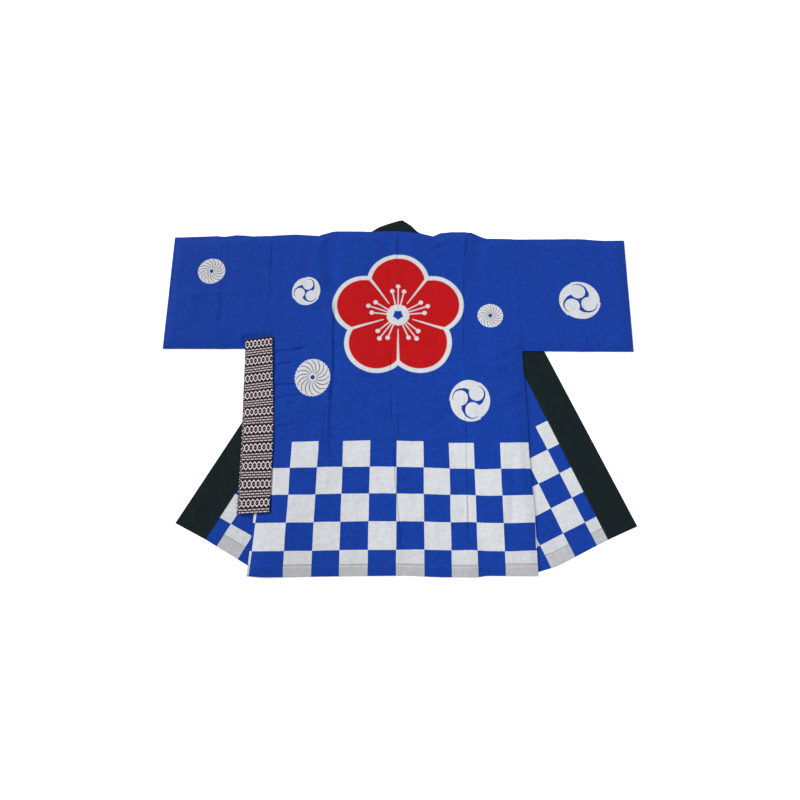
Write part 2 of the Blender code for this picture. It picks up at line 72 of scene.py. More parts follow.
class Graph:
    """Wires a node tree: each method adds a node and returns its output."""

    # The colour sockets of a Mix node share their names with its others, so they go by number
    MIX_FACTOR, MIX_LOW, MIX_HIGH, MIX_RESULT = 0, 6, 7, 2

    def __init__(self, tree: Tree) -> None:
        """Keeps the tree that the nodes go into, a material's or a group's."""
        self.tree = tree

    def node(self, kind: str, **settings: object) -> bpy.types.Node:
        """Adds a node.

        Args:
            kind: The node's type name.
            **settings: Values for its properties.

        Returns:
            The new node.
        """
        made = self.tree.nodes.new(kind)
        for name, value in settings.items():
            setattr(made, name, value)
        return made

    def feed(self, socket: Socket, value: Value) -> None:
        """Links an output to a socket, or sets the socket to a constant.

        Args:
            socket: The input to feed.
            value: An output socket, a number or a tuple.
        """
        if isinstance(value, Socket):
            self.tree.links.new(value, socket)
        else:
            socket.default_value = value

    def math(self, operation: str, *values: Value) -> Socket:
        """Adds a Math node.

        Args:
            operation: The operation's name.
            *values: Its inputs in order.

        Returns:
            The result.
        """
        made = self.node("ShaderNodeMath", operation=operation)
        for socket, value in zip(made.inputs, values):
            self.feed(socket, value)
        return made.outputs[0]

    def vector(self, operation: str, *values: Value) -> Socket:
        """Adds a Vector Math node.

        Args:
            operation: The operation's name.
            *values: Its inputs in order. A number feeds the Scale input.

        Returns:
            The result, which is a value for LENGTH and DISTANCE.
        """
        made = self.node("ShaderNodeVectorMath", operation=operation)
        vectors = [socket for socket in made.inputs if socket.name == "Vector"]
        for value in values:
            if isinstance(value, float):
                self.feed(made.inputs["Scale"], value)
            else:
                self.feed(vectors.pop(0), value)
        return made.outputs["Value" if operation in ("LENGTH", "DISTANCE") else "Vector"]

    def split(self, vector: Value) -> list[Socket]:
        """Splits a vector.

        Args:
            vector: The vector.

        Returns:
            Its x, y and z.
        """
        made = self.node("ShaderNodeSeparateXYZ")
        self.feed(made.inputs[0], vector)
        return list(made.outputs)

    def join(self, x: Value, y: Value, z: Value = 0.0) -> Socket:
        """Makes a vector.

        Args:
            x: Its x.
            y: Its y.
            z: Its z.

        Returns:
            The vector.
        """
        made = self.node("ShaderNodeCombineXYZ")
        for socket, value in zip(made.inputs, (x, y, z)):
            self.feed(socket, value)
        return made.outputs[0]

    def below(self, value: Value, edge: Value, soft: float) -> Socket:
        """Compares with a soft step.

        Args:
            value: The value to compare.
            edge: Where the step is.
            soft: The width of the step.

        Returns:
            1 below the edge, 0 above it.
        """
        made = self.node("ShaderNodeMath", operation="MULTIPLY_ADD", use_clamp=True)
        self.feed(made.inputs[0], self.math("SUBTRACT", edge, value))
        made.inputs[1].default_value = 1.0 / soft
        made.inputs[2].default_value = 0.5
        return made.outputs[0]

    def both(self, *masks: Value) -> Socket:
        """Multiplies masks, for 1 where all of them are 1."""
        return reduce(lambda one, other: self.math("MULTIPLY", one, other), masks)

    def either(self, *masks: Value) -> Socket:
        """Joins masks, for 1 where any of them is 1."""
        return reduce(lambda one, other: self.math("MAXIMUM", one, other), masks)

    def noise(self, vector: Value, scale: float, detail: float = 2.0, roughness: float = 0.5) -> Socket:
        """Adds a noise texture.

        Args:
            vector: Where it is read.
            scale: Waves for each metre.
            detail: Octaves.
            roughness: Strength of the finer octaves.

        Returns:
            The noise, about 0 to 1.
        """
        made = self.node("ShaderNodeTexNoise")
        self.feed(made.inputs["Vector"], vector)
        made.inputs["Scale"].default_value = scale
        made.inputs["Detail"].default_value = detail
        made.inputs["Roughness"].default_value = roughness
        return made.outputs["Fac"]

    def blend(self, factor: Value, low: Value, high: Value, how: str = "MIX") -> Socket:
        """Mixes two colours.

        Args:
            factor: 0 gives the first, 1 the second.
            low: The first colour.
            high: The second colour.
            how: The blend type.

        Returns:
            The mixed colour.
        """
        made = self.node("ShaderNodeMix", data_type="RGBA", blend_type=how)
        self.feed(made.inputs[self.MIX_FACTOR], factor)
        for number, colour in ((self.MIX_LOW, low), (self.MIX_HIGH, high)):
            self.feed(made.inputs[number], colour if isinstance(colour, Socket) else (*colour, 1.0))
        return made.outputs[self.MIX_RESULT]

    def bump(self, height: Value, depth: float, normal: Value | None = None) -> Socket:
        """Adds a bump.

        Args:
            height: Its height, 0 to 1.
            depth: What a height of 1 stands for, in metres.
            normal: The bump under it.

        Returns:
            The bumped normal.
        """
        made = self.node("ShaderNodeBump")
        made.inputs["Distance"].default_value = depth
        self.feed(made.inputs["Height"], height)
        if normal is not None:
            self.feed(made.inputs["Normal"], normal)
        return made.outputs["Normal"]

    def use(self, group: Tree, **values: Value) -> dict[str, Socket]:
        """Places a node group.

        Args:
            group: The group.
            **values: Its inputs by name.

        Returns:
            Its outputs by name.
        """
        made = self.node("ShaderNodeGroup", node_tree=group)
        for name, value in values.items():
            self.feed(made.inputs[name], value)
        return {socket.name: socket for socket in made.outputs}


class Kind(Enum):
    """Types of a group's sockets."""

    NUMBER = "NodeSocketFloat"
    VECTOR = "NodeSocketVector"


@dataclass
class Group:
    """A node group being made: its inputs, its outputs and its graph."""

    name: str
    inputs: dict[str, Kind]
    outputs: dict[str, Kind]

    def __post_init__(self) -> None:
        """Makes the group's tree and its sockets."""
        self.tree = bpy.data.node_groups.new(self.name, "ShaderNodeTree")
        for name, kind in self.inputs.items():
            self.tree.interface.new_socket(name=name, in_out="INPUT", socket_type=kind.value)
        for name, kind in self.outputs.items():
            self.tree.interface.new_socket(name=name, in_out="OUTPUT", socket_type=kind.value)
        self.graph = Graph(self.tree)
        self.given = self.graph.node("NodeGroupInput").outputs
        self.result = self.graph.node("NodeGroupOutput").inputs

    def give(self, **values: Value) -> Tree:
        """Feeds the group's outputs.

        Args:
            **values: The outputs by name.

        Returns:
            The finished group.
        """
        for name, value in values.items():
            self.graph.feed(self.result[name], value)
        return self.tree


class Effects:
    """The node groups that the finishes share, each made once."""

    EDGE_SOFT = 0.012

    def __init__(self) -> None:
        """Makes every group."""
        self.weave = self.make_weave()
        self.crumple = self.make_crumple()
        self.wander = self.make_wander()
        self.checks = self.make_checks()
        self.tomoe = self.make_tomoe()
        self.chrysanthemum = self.make_chrysanthemum()
        self.plum = self.make_plum()
        self.belt_repeat = self.make_belt_repeat()

    @staticmethod
    def make_weave() -> Tree:
        """Makes a plain weave: crossing threads, and slubs along and across.

        Returns:
            The group: Vector and Pitch in, Height and Shade out.
        """
        slub_scale, slub_stretch = 420.0, 0.1
        slub_height, thread_height = 0.9, 0.55
        group = Group("plain_weave", {"Vector": Kind.VECTOR, "Pitch": Kind.NUMBER},
                      {"Height": Kind.NUMBER, "Shade": Kind.NUMBER})
        g, spot = group.graph, group.given["Vector"]
        x, y, _ = g.split(spot)
        turns = g.math("DIVIDE", math.pi, group.given["Pitch"])
        warp = g.math("SINE", g.math("MULTIPLY", x, turns))
        weft = g.math("SINE", g.math("MULTIPLY", y, turns))
        threads = g.math("MULTIPLY_ADD", g.math("MULTIPLY", warp, weft), 0.5, 0.5)
        along = g.noise(g.vector("MULTIPLY", spot, (1.0, slub_stretch, 1.0)), slub_scale, 3.0, 0.6)
        across = g.noise(g.vector("MULTIPLY", spot, (slub_stretch, 1.0, 1.0)), slub_scale, 3.0, 0.6)
        slubs = g.math("MULTIPLY", g.math("ADD", along, across), 0.5)
        height = g.math("MULTIPLY_ADD", slubs, slub_height, g.math("MULTIPLY", threads, thread_height))
        return group.give(Height=height, Shade=slubs)

    @staticmethod
    def make_crumple() -> Tree:
        """Makes the small soft wrinkles of pressed cotton.

        Returns:
            The group: Vector in, Height out.
        """
        broad_share, fine_share = 0.56, 0.22
        group = Group("small_wrinkles", {"Vector": Kind.VECTOR}, {"Height": Kind.NUMBER})
        g, spot = group.graph, group.given["Vector"]
        broad = g.noise(spot, 14.0, 2.0, 0.45)
        upright = g.noise(g.vector("MULTIPLY", spot, (1.0, 0.22, 1.0)), 48.0)
        level = g.noise(g.vector("MULTIPLY", spot, (0.3, 1.0, 1.0)), 60.0)
        fine = g.math("MULTIPLY", g.math("ADD", upright, level), fine_share)
        return group.give(Height=g.math("ADD", g.math("MULTIPLY", broad, broad_share), fine))

    @staticmethod
    def make_wander() -> Tree:
        """Makes the slight wander of a print on laid cloth, and its frayed edge.

        Returns:
            The group: Vector in, Vector out.
        """
        wander, fray = (9.0, 0.003), (420.0, 0.0011)
        group = Group("print_wander", {"Vector": Kind.VECTOR}, {"Vector": Kind.VECTOR})
        g, spot = group.graph, group.given["Vector"]
        result = spot
        for scale, reach in (wander, fray):
            made = g.node("ShaderNodeTexNoise")
            g.feed(made.inputs["Vector"], spot)
            made.inputs["Scale"].default_value = scale
            shift = g.vector("SUBTRACT", made.outputs["Color"], (0.5, 0.5, 0.5))
            result = g.vector("ADD", result, g.vector("SCALE", shift, reach))
        return group.give(Vector=result)

    @staticmethod
    def turned(g: Graph, vector: Value, centre: Value, turn: Value) -> list[Socket]:
        """Reads a place from a centre, turned with a motif.

        Args:
            g: The graph to add to.
            vector: The place.
            centre: The motif's centre.
            turn: The motif's turn, in radians.

        Returns:
            The x and y in the motif's own directions.
        """
        rotate = g.node("ShaderNodeVectorRotate", rotation_type="Z_AXIS")
        g.feed(rotate.inputs["Vector"], g.vector("SUBTRACT", vector, centre))
        g.feed(rotate.inputs["Angle"], g.math("MULTIPLY", turn, -1.0))
        return g.split(rotate.outputs["Vector"])[:2]

    def make_checks(self) -> Tree:
        """Makes a field of checks, from the print's own place on the cloth.

        Returns:
            The group: Vector, First, Last, Rows and Shift in, White out.
        """
        numbers = dict.fromkeys(("First", "Last", "Rows", "Shift"), Kind.NUMBER)
        group = Group("checks", {"Vector": Kind.VECTOR, **numbers}, {"White": Kind.NUMBER})
        g, given = group.graph, group.given
        x, y, _ = g.split(given["Vector"])
        column = g.math("FLOOR", g.math("DIVIDE", x, CHECK))
        column = g.math("MINIMUM", g.math("MAXIMUM", column, given["First"]), given["Last"])
        row = g.math("FLOOR", g.math("DIVIDE", y, CHECK))
        white = g.math("FLOORED_MODULO", g.math("ADD", g.math("ADD", column, row), given["Shift"]), 2.0)
        inside = g.math("LESS_THAN", row, g.math("SUBTRACT", given["Rows"], 0.5))
        return group.give(White=g.both(white, inside))

    def polar(self, group: Group, repeat: float, start: float) -> tuple[Socket, Socket, Socket]:
        """Reads a round motif's place in polar form, within one of its repeats.

        Args:
            group: The motif's group, with Vector, Centre, Radius and Turn.
            repeat: The angle of one repeat.
            start: The first angle of a repeat.

        Returns:
            The distance as a share of the radius, the angle in the repeat, and the whole angle.
        """
        g, given = group.graph, group.given
        x, y = self.turned(g, given["Vector"], given["Centre"], given["Turn"])
        distance = g.math("DIVIDE", g.vector("LENGTH", g.join(x, y)), given["Radius"])
        angle = g.math("ARCTAN2", y, x)
        folded = g.math("FLOORED_MODULO", g.math("SUBTRACT", angle, start), repeat)
        return distance, g.math("ADD", folded, start), angle

    @staticmethod
    def unrolled(g: Graph, distance: Value, angle: Value) -> Socket:
        """Gives the flat place of a distance from the middle and an angle."""
        return g.join(g.math("MULTIPLY", distance, g.math("COSINE", angle)),
                      g.math("MULTIPLY", distance, g.math("SINE", angle)))

    @staticmethod
    def round_motif(name: str, *outputs: str) -> Group:
        """Starts the group of a round motif: Vector, Centre, Radius and Turn go in, and the outputs out."""
        inputs = {"Vector": Kind.VECTOR, "Centre": Kind.VECTOR, "Radius": Kind.NUMBER, "Turn": Kind.NUMBER}
        return Group(name, inputs, dict.fromkeys(outputs, Kind.NUMBER))

    def make_tomoe(self) -> Tree:
        """Makes the three-comma roundel: round heads, and tails that sweep anticlockwise.

        Returns:
            The group, with White out.
        """
        head_place, head_radius = 0.47, 0.364
        first, third = math.radians(15.0), math.radians(120.0)
        neck, reach, last = math.radians(50.0), math.radians(80.0), math.radians(132.0)
        tail_start, tail_growth, tail_end = 0.5, 0.4, 0.8
        rim_start, rim_growth = 0.955, 0.045
        slit_end, slit_growth = 0.018, 0.084
        group = self.round_motif("three_comma_roundel", "White")
        g = group.graph
        distance, angle, _ = self.polar(group, third, first)
        place = self.unrolled(g, distance, angle)
        turns = [number * third for number in range(3)]
        centres = [(head_place * math.cos(turn), head_place * math.sin(turn), 0.0) for turn in turns]
        heads = [g.vector("DISTANCE", place, centre) for centre in centres]
        nearest = g.math("MINIMUM", g.math("MINIMUM", heads[0], heads[1]), heads[2])
        swept = g.math("MAXIMUM", g.math("DIVIDE", g.math("SUBTRACT", angle, neck), reach), 0.0)
        tail = g.math("MULTIPLY_ADD", g.math("POWER", swept, 0.75), tail_growth, tail_start)
        tail = g.math("MINIMUM", tail, tail_end)
        rim = g.math("MULTIPLY_ADD", g.math("SUBTRACT", angle, first), rim_growth / third, rim_start)
        slit = g.math("MULTIPLY_ADD", g.math("SUBTRACT", last, angle), slit_growth, head_radius + slit_end)
        parted = g.either(g.below(distance, tail, self.EDGE_SOFT), g.below(heads[1], slit, self.EDGE_SOFT))
        parted = g.both(parted, g.below(head_radius, nearest, self.EDGE_SOFT), g.below(angle, last, 0.02))
        whole = g.below(distance, rim, self.EDGE_SOFT)
        return group.give(White=g.both(g.math("SUBTRACT", 1.0, parted), whole))

    def make_chrysanthemum(self) -> Tree:
        """Makes the twisted chrysanthemum: narrow blades that swirl round a small eye.

        Returns:
            The group, with White and Line out.
        """
        blades, swirl, eye_radius = 16, math.radians(41.0), 0.0053
        line_start, line_growth, line_most = 0.01, 0.031, 0.03
        line_from, line_to, tooth_depth = 0.21, 0.94, 0.04
        group = self.round_motif("twisted_chrysanthemum", "White", "Line")
        g = group.graph
        distance, _, angle = self.polar(group, math.tau, -math.pi)
        bent = g.math("SUBTRACT", angle, g.math("MULTIPLY", g.math("MULTIPLY", distance, distance), swirl))
        wave = g.math("ABSOLUTE", g.math("SINE", g.math("MULTIPLY", bent, blades / 2)))
        off_line = g.math("DIVIDE", g.math("MULTIPLY", distance, wave), blades / 2)
        half_line = g.math("MINIMUM", g.math("MULTIPLY_ADD", distance, line_growth, line_start), line_most)
        line = g.both(g.below(off_line, half_line, 0.016), g.below(line_from, distance, 0.06),
                      g.below(distance, line_to, 0.05))
        tooth = g.math("ABSOLUTE", g.math("SINE", g.math("MULTIPLY", bent, float(blades))))
        rim = g.below(distance, g.math("MULTIPLY_ADD", tooth, tooth_depth, 1.0 - tooth_depth), self.EDGE_SOFT)
        eye = g.below(g.math("DIVIDE", eye_radius, group.given["Radius"]), distance, self.EDGE_SOFT)
        return group.give(White=g.both(rim, eye), Line=line)

    def make_plum(self) -> Tree:
        """Makes a five-petalled plum blossom with stamens, in red with a white border.

        Returns:
            The group, with Red and White out.
        """
        fifth, fan = math.radians(72.0), math.radians(13.0)
        petal_place, petal_radius, border = 0.57, 0.43, 0.072
        gap_start, gap_share, boss = 0.24, 0.03, 0.15
        ring_inner, ring_outer = 0.135, 0.18
        stamen, middle_longer, stem_half, anther_radius = 0.42, 0.075, 0.0105, 0.036
        group = self.round_motif("plum_blossom", "Red", "White")
        g = group.graph
        distance, angle, _ = self.polar(group, fifth, -0.5 * fifth)
        soft = self.EDGE_SOFT
        off_petal = g.vector("DISTANCE", self.unrolled(g, distance, angle), (petal_place, 0.0, 0.0))
        petal = g.math("SUBTRACT", off_petal, petal_radius)
        size = g.math("ABSOLUTE", angle)
        parting = g.math("MULTIPLY", distance, g.math("SINE", g.math("SUBTRACT", 0.5 * fifth, size)))
        gap_width = g.math("MULTIPLY", distance, gap_share)
        gap = g.both(g.below(parting, gap_width, soft), g.below(gap_start, distance, 0.02))
        folded = g.math("FLOORED_MODULO", g.math("ADD", angle, 0.5 * fan), fan)
        stamen_place = self.unrolled(g, distance, g.math("SUBTRACT", folded, 0.5 * fan))
        off_stem = g.math("ABSOLUTE", g.split(stamen_place)[1])
        in_fan = g.below(size, 1.5 * fan, 0.01)
        tip = g.math("MULTIPLY_ADD", g.below(size, 0.5 * fan, 0.01), middle_longer, stamen)
        stem = g.both(g.below(off_stem, stem_half, soft), g.below(distance, tip, soft), in_fan)
        anther = g.below(g.vector("DISTANCE", stamen_place, g.join(tip, 0.0)), anther_radius, soft)
        ring = g.both(g.below(ring_inner, distance, soft), g.below(distance, ring_outer, soft))
        outside_boss = g.below(boss, distance, soft)
        lines = g.either(gap, g.both(g.either(stem, g.both(anther, in_fan)), outside_boss), ring)
        red = g.both(g.below(petal, 0.0, soft), g.math("SUBTRACT", 1.0, lines))
        return group.give(Red=red, White=g.below(petal, border, soft))

    @staticmethod
    def make_belt_repeat() -> Tree:
        """Makes the belt's woven repeat: a chain of hexagons, then three rows of broken dashes.

        Returns:
            The group: Vector in metres across and along the belt, Light and Height out.
        """
        chain, column, first = 0.04413, 0.01036, 0.0139
        lean, link_start, dash_start = 0.0155, 0.0003, -0.0009
        hexagon_half, hexagon_slope, stroke_half = 0.009, 0.0058, 0.0014
        link_side, link_half, pinch_half = 0.0039, 0.004, 0.0007
        dash_row, dash_length, dash_half = 0.0062, 0.0041, 0.0013
        selvedges = (0.0006, 0.0719)
        yarn_pitch, end_pitch = 0.00125, 0.00105
        group = Group("belt_repeat", {"Vector": Kind.VECTOR}, {"Light": Kind.NUMBER, "Height": Kind.NUMBER})
        g = group.graph
        x, y, _ = g.split(group.given["Vector"])
        slid = g.math("MULTIPLY_ADD", y, -lean, x)

        def centred(value: Value, pitch: float, start: float) -> Socket:
            """Gives how far a place is from the nearest centre of a repeat, with its sign."""
            moved = g.math("ADD", g.math("SUBTRACT", value, start), 0.5 * pitch)
            return g.math("SUBTRACT", g.math("FLOORED_MODULO", moved, pitch), 0.5 * pitch)

        from_centre = g.math("ABSOLUTE", centred(slid, column, 0.5 * column + link_start))
        row = g.math("ABSOLUTE", centred(y, chain, first))
        edge = g.math("MULTIPLY_ADD", from_centre, -hexagon_slope / (0.5 * column), hexagon_half)
        zigzag = g.below(g.math("ABSOLUTE", g.math("SUBTRACT", row, edge)), stroke_half, 0.0007)
        zigzag = g.both(zigzag, g.math("MULTIPLY_ADD", g.below(0.0062, row, 0.002), 0.3, 0.7))
        link = g.both(g.below(link_side, from_centre, 0.0006), g.below(row, link_half, 0.0006), 0.7)
        pinch = g.both(g.below(row, pinch_half, 0.0008), 0.22)
        dashes = []
        for offset, shift in ((-dash_row, 0.5), (0.0, 0.0), (dash_row, 0.5)):
            off_row = g.math("ABSOLUTE", centred(y, chain, first + 0.5 * chain + offset))
            off_dash = g.math("ABSOLUTE", centred(slid, column, (0.5 + shift) * column + dash_start))
            in_row, in_dash = g.below(off_row, dash_half, 0.0006), g.below(off_dash, dash_length, 0.0008)
            dashes.append(g.both(in_row, in_dash, 0.62))
        inside = g.both(g.below(selvedges[0], x, 0.0005), g.below(x, selvedges[1], 0.0005))
        light = g.both(g.either(zigzag, link, pinch, *dashes), inside)
        yarns = g.math("ABSOLUTE", g.math("SINE", g.math("MULTIPLY", y, math.pi / yarn_pitch)))
        ends = g.math("ABSOLUTE", g.math("SINE", g.math("MULTIPLY", x, math.pi / end_pitch)))
        ribs = g.math("MULTIPLY_ADD", ends, 0.15, g.math("MULTIPLY", yarns, 0.35))
        return group.give(Light=light, Height=g.math("MULTIPLY_ADD", light, 0.5, ribs))


# ---------------------------------------------------------------- finishes


@dataclass(frozen=True)
class Dyes:
    """Colours of the coat and its belt, as linear red, green and blue."""

    blue: Triple = (0.004, 0.04, 0.305)
    white: Triple = (0.59, 0.608, 0.635)
    red: Triple = (0.45, 0.003, 0.0055)
    blade: Triple = (0.15, 0.138, 0.15)
    black: Triple = (0.0038, 0.0085, 0.0098)
    belt_dark: Triple = (0.0125, 0.005, 0.0072)
    belt_light: Triple = (0.98, 0.87, 0.91)


@dataclass(frozen=True)
class Checks:
    """A field of checks: which check is white, its first and last column, and its rows above its corner."""

    shift: float
    first: float = -20.0
    last: float = 20.0
    rows: float = 4.0


@dataclass(frozen=True)
class Roundel:
    """A round motif: its centre, its radius across, its turn, and how much taller it is than wide."""

    centre: Place
    radius: float
    turn: float = 0.0
    tall: float = 1.0

    def place(self, g: Graph, group: Tree, spot: Socket) -> dict[str, Socket]:
        """Prints the motif.

        Args:
            g: The material's graph.
            group: The motif's group.
            spot: The place on the cloth.

        Returns:
            The group's outputs.
        """
        squashed = g.vector("MULTIPLY", spot, (1.0, 1.0 / self.tall, 1.0))
        centre = (self.centre[0], self.centre[1] / self.tall, 0.0)
        return g.use(group, Vector=squashed, Centre=centre, Radius=self.radius, Turn=self.turn)


@dataclass(frozen=True)
class Cotton:
    """Base of each cotton finish: sheen, roughness, weave and wrinkles."""

    name: str
    dyes: Dyes = Dyes()
    roughness: float = 0.86
    sheen: float = 0.05
    sheen_roughness: float = 0.55
    specular: float = 0.1
    pitch: float = 0.0008
    thread_rough: float = 0.12
    weave_depth: float = 0.00022
    crumple_depth: float = 0.0052
    grain: tuple[float, float] = (125.0, 0.8)
    middle_shade: float = 0.9

    def surface(self) -> tuple[bpy.types.Material, Graph, Socket]:
        """Starts the material.

        Returns:
            The material, its graph, and the place that patterns read.
        """
        made = bpy.data.materials.new(self.name)
        made.use_nodes = True
        graph = Graph(made.node_tree)
        return made, graph, graph.node("ShaderNodeTexCoord").outputs["Object"]

    def finish(self, made: bpy.types.Material, graph: Graph, effects: Effects, colour: Socket,
               place: Socket, contrast: Value) -> bpy.types.Material:
        """Gives the colour its thread shade, and the surface its weave, wrinkles and sheen.

        Args:
            made: The material.
            graph: Its graph.
            effects: The shared groups.
            colour: The cloth's colour.
            place: The place that the weave reads.
            contrast: How far the shade of the threads varies.

        Returns:
            The finished material.
        """
        shader = made.node_tree.nodes["Principled BSDF"]
        weave = graph.use(effects.weave, Vector=place, Pitch=self.pitch)
        crumple = graph.use(effects.crumple, Vector=place)
        grain_scale, grain_share = self.grain
        grain = graph.noise(place, grain_scale, 3.0, 0.6)
        mixed = graph.math("ADD", weave["Shade"], graph.math("MULTIPLY", grain, grain_share))
        shade = graph.math("MULTIPLY_ADD", graph.math("SUBTRACT", mixed, self.middle_shade), contrast, 1.0)
        shaded = graph.blend(1.0, colour, graph.join(shade, shade, shade), "MULTIPLY")
        graph.feed(shader.inputs["Base Color"], shaded)
        rough = graph.math("MULTIPLY_ADD", weave["Shade"], self.thread_rough,
                           self.roughness - 0.5 * self.thread_rough)
        graph.feed(shader.inputs["Roughness"], rough)
        shader.inputs["Sheen Weight"].default_value = self.sheen
        shader.inputs["Sheen Roughness"].default_value = self.sheen_roughness
        shader.inputs["Specular IOR Level"].default_value = self.specular
        creased = graph.bump(crumple["Height"], self.crumple_depth)
        graph.feed(shader.inputs["Normal"], graph.bump(weave["Height"], self.weave_depth, creased))
        return made


@dataclass(frozen=True)
class PrintedCotton(Cotton):
    """Blue cotton with white and red prints."""

    checks: Checks | None = None
    commas: tuple[Roundel, ...] = ()
    flowers: tuple[Roundel, ...] = ()
    blossom: Roundel | None = None
    strips: tuple[tuple[Place, Place], ...] = ()
    contrast: tuple[float, float] = (0.92, 0.4)
    # The undyed cloth's greyest tone: the turned-up hem band, and painted shade along the hem's stitching
    greyest_hem_and_stitch_shade: float = 0.56

    def build(self, effects: Effects) -> bpy.types.Material:
        """Makes the material.

        Args:
            effects: The shared groups.

        Returns:
            The material.
        """
        made, g, place = self.surface()
        spot = g.use(effects.wander, Vector=place)["Vector"]
        masks, lines = [], []
        if self.checks:
            one = self.checks
            cloth = g.node("ShaderNodeUVMap", uv_map="cloth").outputs["UV"]
            printed = g.use(effects.wander, Vector=cloth)["Vector"]
            shift = self.flip(g, place, one.shift)
            masks.append(g.use(effects.checks, Vector=printed, First=one.first, Last=one.last,
                               Rows=one.rows, Shift=shift)["White"])
        masks += [one.place(g, effects.tomoe, spot)["White"] for one in self.commas]
        for one in self.flowers:
            printed = one.place(g, effects.chrysanthemum, spot)
            masks.append(printed["White"])
            lines.append(printed["Line"])
        red = 0.0
        if self.blossom:
            printed = self.blossom.place(g, effects.plum, spot)
            masks.append(printed["White"])
            red = printed["Red"]
        white = self.greyer_hem_and_shade(g)
        if lines:
            white = g.blend(g.either(*lines), white, self.dyes.blade)
        undyed = g.either(*masks) if masks else 0.0
        colour = g.blend(red, g.blend(undyed, self.dyes.blue, white), self.dyes.red)
        dyed_contrast, white_contrast = self.contrast
        contrast = g.math("MULTIPLY_ADD", undyed, white_contrast - dyed_contrast, dyed_contrast)
        return self.finish(made, g, effects, colour, place, contrast)

    def flip(self, g: Graph, spot: Socket, shift: float) -> Value:
        """Swaps the checks beyond each side seam, where the front's cloth comes round the edge.

        Args:
            g: The material's graph.
            spot: The place on the ground.
            shift: 0 or 1, which check is white.

        Returns:
            The shift, swapped beyond the seams.
        """
        result: Value = shift
        x, y, _ = g.split(spot)
        for (low_x, low_y), (high_x, high_y) in self.strips:
            slope = (high_x - low_x) / (high_y - low_y)
            seam = g.math("MULTIPLY_ADD", y, slope, low_x - slope * low_y)
            beyond = g.math("GREATER_THAN" if low_x > 0.0 else "LESS_THAN", x, seam)
            result = g.math("ADD", g.both(beyond, g.math("GREATER_THAN", y, low_y)), result)
        return result

    def greyer_hem_and_shade(self, g: Graph) -> Socket:
        """Gives the undyed cloth, a little greyer where the hem is turned up behind it, and darkest along the
        hem's stitching, which is painted shade in its groove.
        """
        hem = g.node("ShaderNodeAttribute", attribute_name="greyer_hem_and_shade").outputs["Fac"]
        return g.blend(hem, self.dyes.white, tuple(self.greyest_hem_and_stitch_shade * part for part in self.dyes.white))


@dataclass(frozen=True)
class BandCotton(Cotton):
    """Black cotton of the collar, in the band's own directions."""

    wear: float = 1.7
    contrast: float = 0.8

    def build(self, effects: Effects) -> bpy.types.Material:
        """Makes the material.

        Args:
            effects: The shared groups.

        Returns:
            The material.
        """
        made, g, _ = self.surface()
        place = g.node("ShaderNodeUVMap", uv_map="cloth").outputs["UV"]
        worn = g.noise(place, 30.0, 3.0, 0.6)
        colour = g.blend(worn, self.dyes.black, tuple(self.wear * part for part in self.dyes.black))
        return self.finish(made, g, effects, colour, place, self.contrast)


@dataclass(frozen=True)
class BeltWeave(Cotton):
    """The belt's woven repeat."""

    roughness: float = 0.72
    specular: float = 0.25
    pitch: float = 0.0009
    thread_rough: float = 0.15
    weave_depth: float = 0.0002
    wobble: float = 0.0012
    thread_shade: tuple[float, float] = (0.4, 0.84)
    rib_depth: float = 0.0006

    def build(self, effects: Effects) -> bpy.types.Material:
        """Makes the material.

        Args:
            effects: The shared groups.

        Returns:
            The material.
        """
        made, g, _ = self.surface()
        shader = made.node_tree.nodes["Principled BSDF"]
        place = g.node("ShaderNodeUVMap", uv_map="cloth").outputs["UV"]
        wobble = g.math("MULTIPLY_ADD", g.noise(place, 160.0), self.wobble, -0.5 * self.wobble)
        spot = g.vector("ADD", place, g.join(0.0, wobble))
        repeat = g.use(effects.belt_repeat, Vector=spot)
        weave = g.use(effects.weave, Vector=place, Pitch=self.pitch)
        colour = g.blend(repeat["Light"], self.dyes.belt_dark, self.dyes.belt_light)
        shade = g.math("MULTIPLY_ADD", weave["Shade"], *self.thread_shade)
        g.feed(shader.inputs["Base Color"], g.blend(1.0, colour, g.join(shade, shade, shade), "MULTIPLY"))
        rough = g.math("MULTIPLY_ADD", weave["Shade"], self.thread_rough, self.roughness)
        g.feed(shader.inputs["Roughness"], rough)
        shader.inputs["Sheen Weight"].default_value = self.sheen
        shader.inputs["Specular IOR Level"].default_value = self.specular
        ribs = g.bump(repeat["Height"], self.rib_depth)
        g.feed(shader.inputs["Normal"], g.bump(weave["Height"], self.weave_depth, ribs))
        return made


@dataclass(frozen=True)
class Thread(Cotton):
    """Sewing thread."""

    colour: Triple = (0.5, 0.5, 0.5)
    roughness: float = 0.6
    sheen: float = 0.2
    twist_scale: float = 2600.0
    twist_shade: float = 0.6
    twist_depth: float = 0.0001

    def build(self, effects: Effects) -> bpy.types.Material:
        """Makes the material.

        Args:
            effects: The shared groups, of which a thread needs none.

        Returns:
            The material.
        """
        made, g, place = self.surface()
        shader = made.node_tree.nodes["Principled BSDF"]
        twist = g.noise(place, self.twist_scale)
        colour = g.blend(twist, self.colour, tuple(self.twist_shade * part for part in self.colour))
        g.feed(shader.inputs["Base Color"], colour)
        shader.inputs["Roughness"].default_value = self.roughness
        shader.inputs["Sheen Weight"].default_value = self.sheen
        g.feed(shader.inputs["Normal"], g.bump(twist, self.twist_depth))
        return made


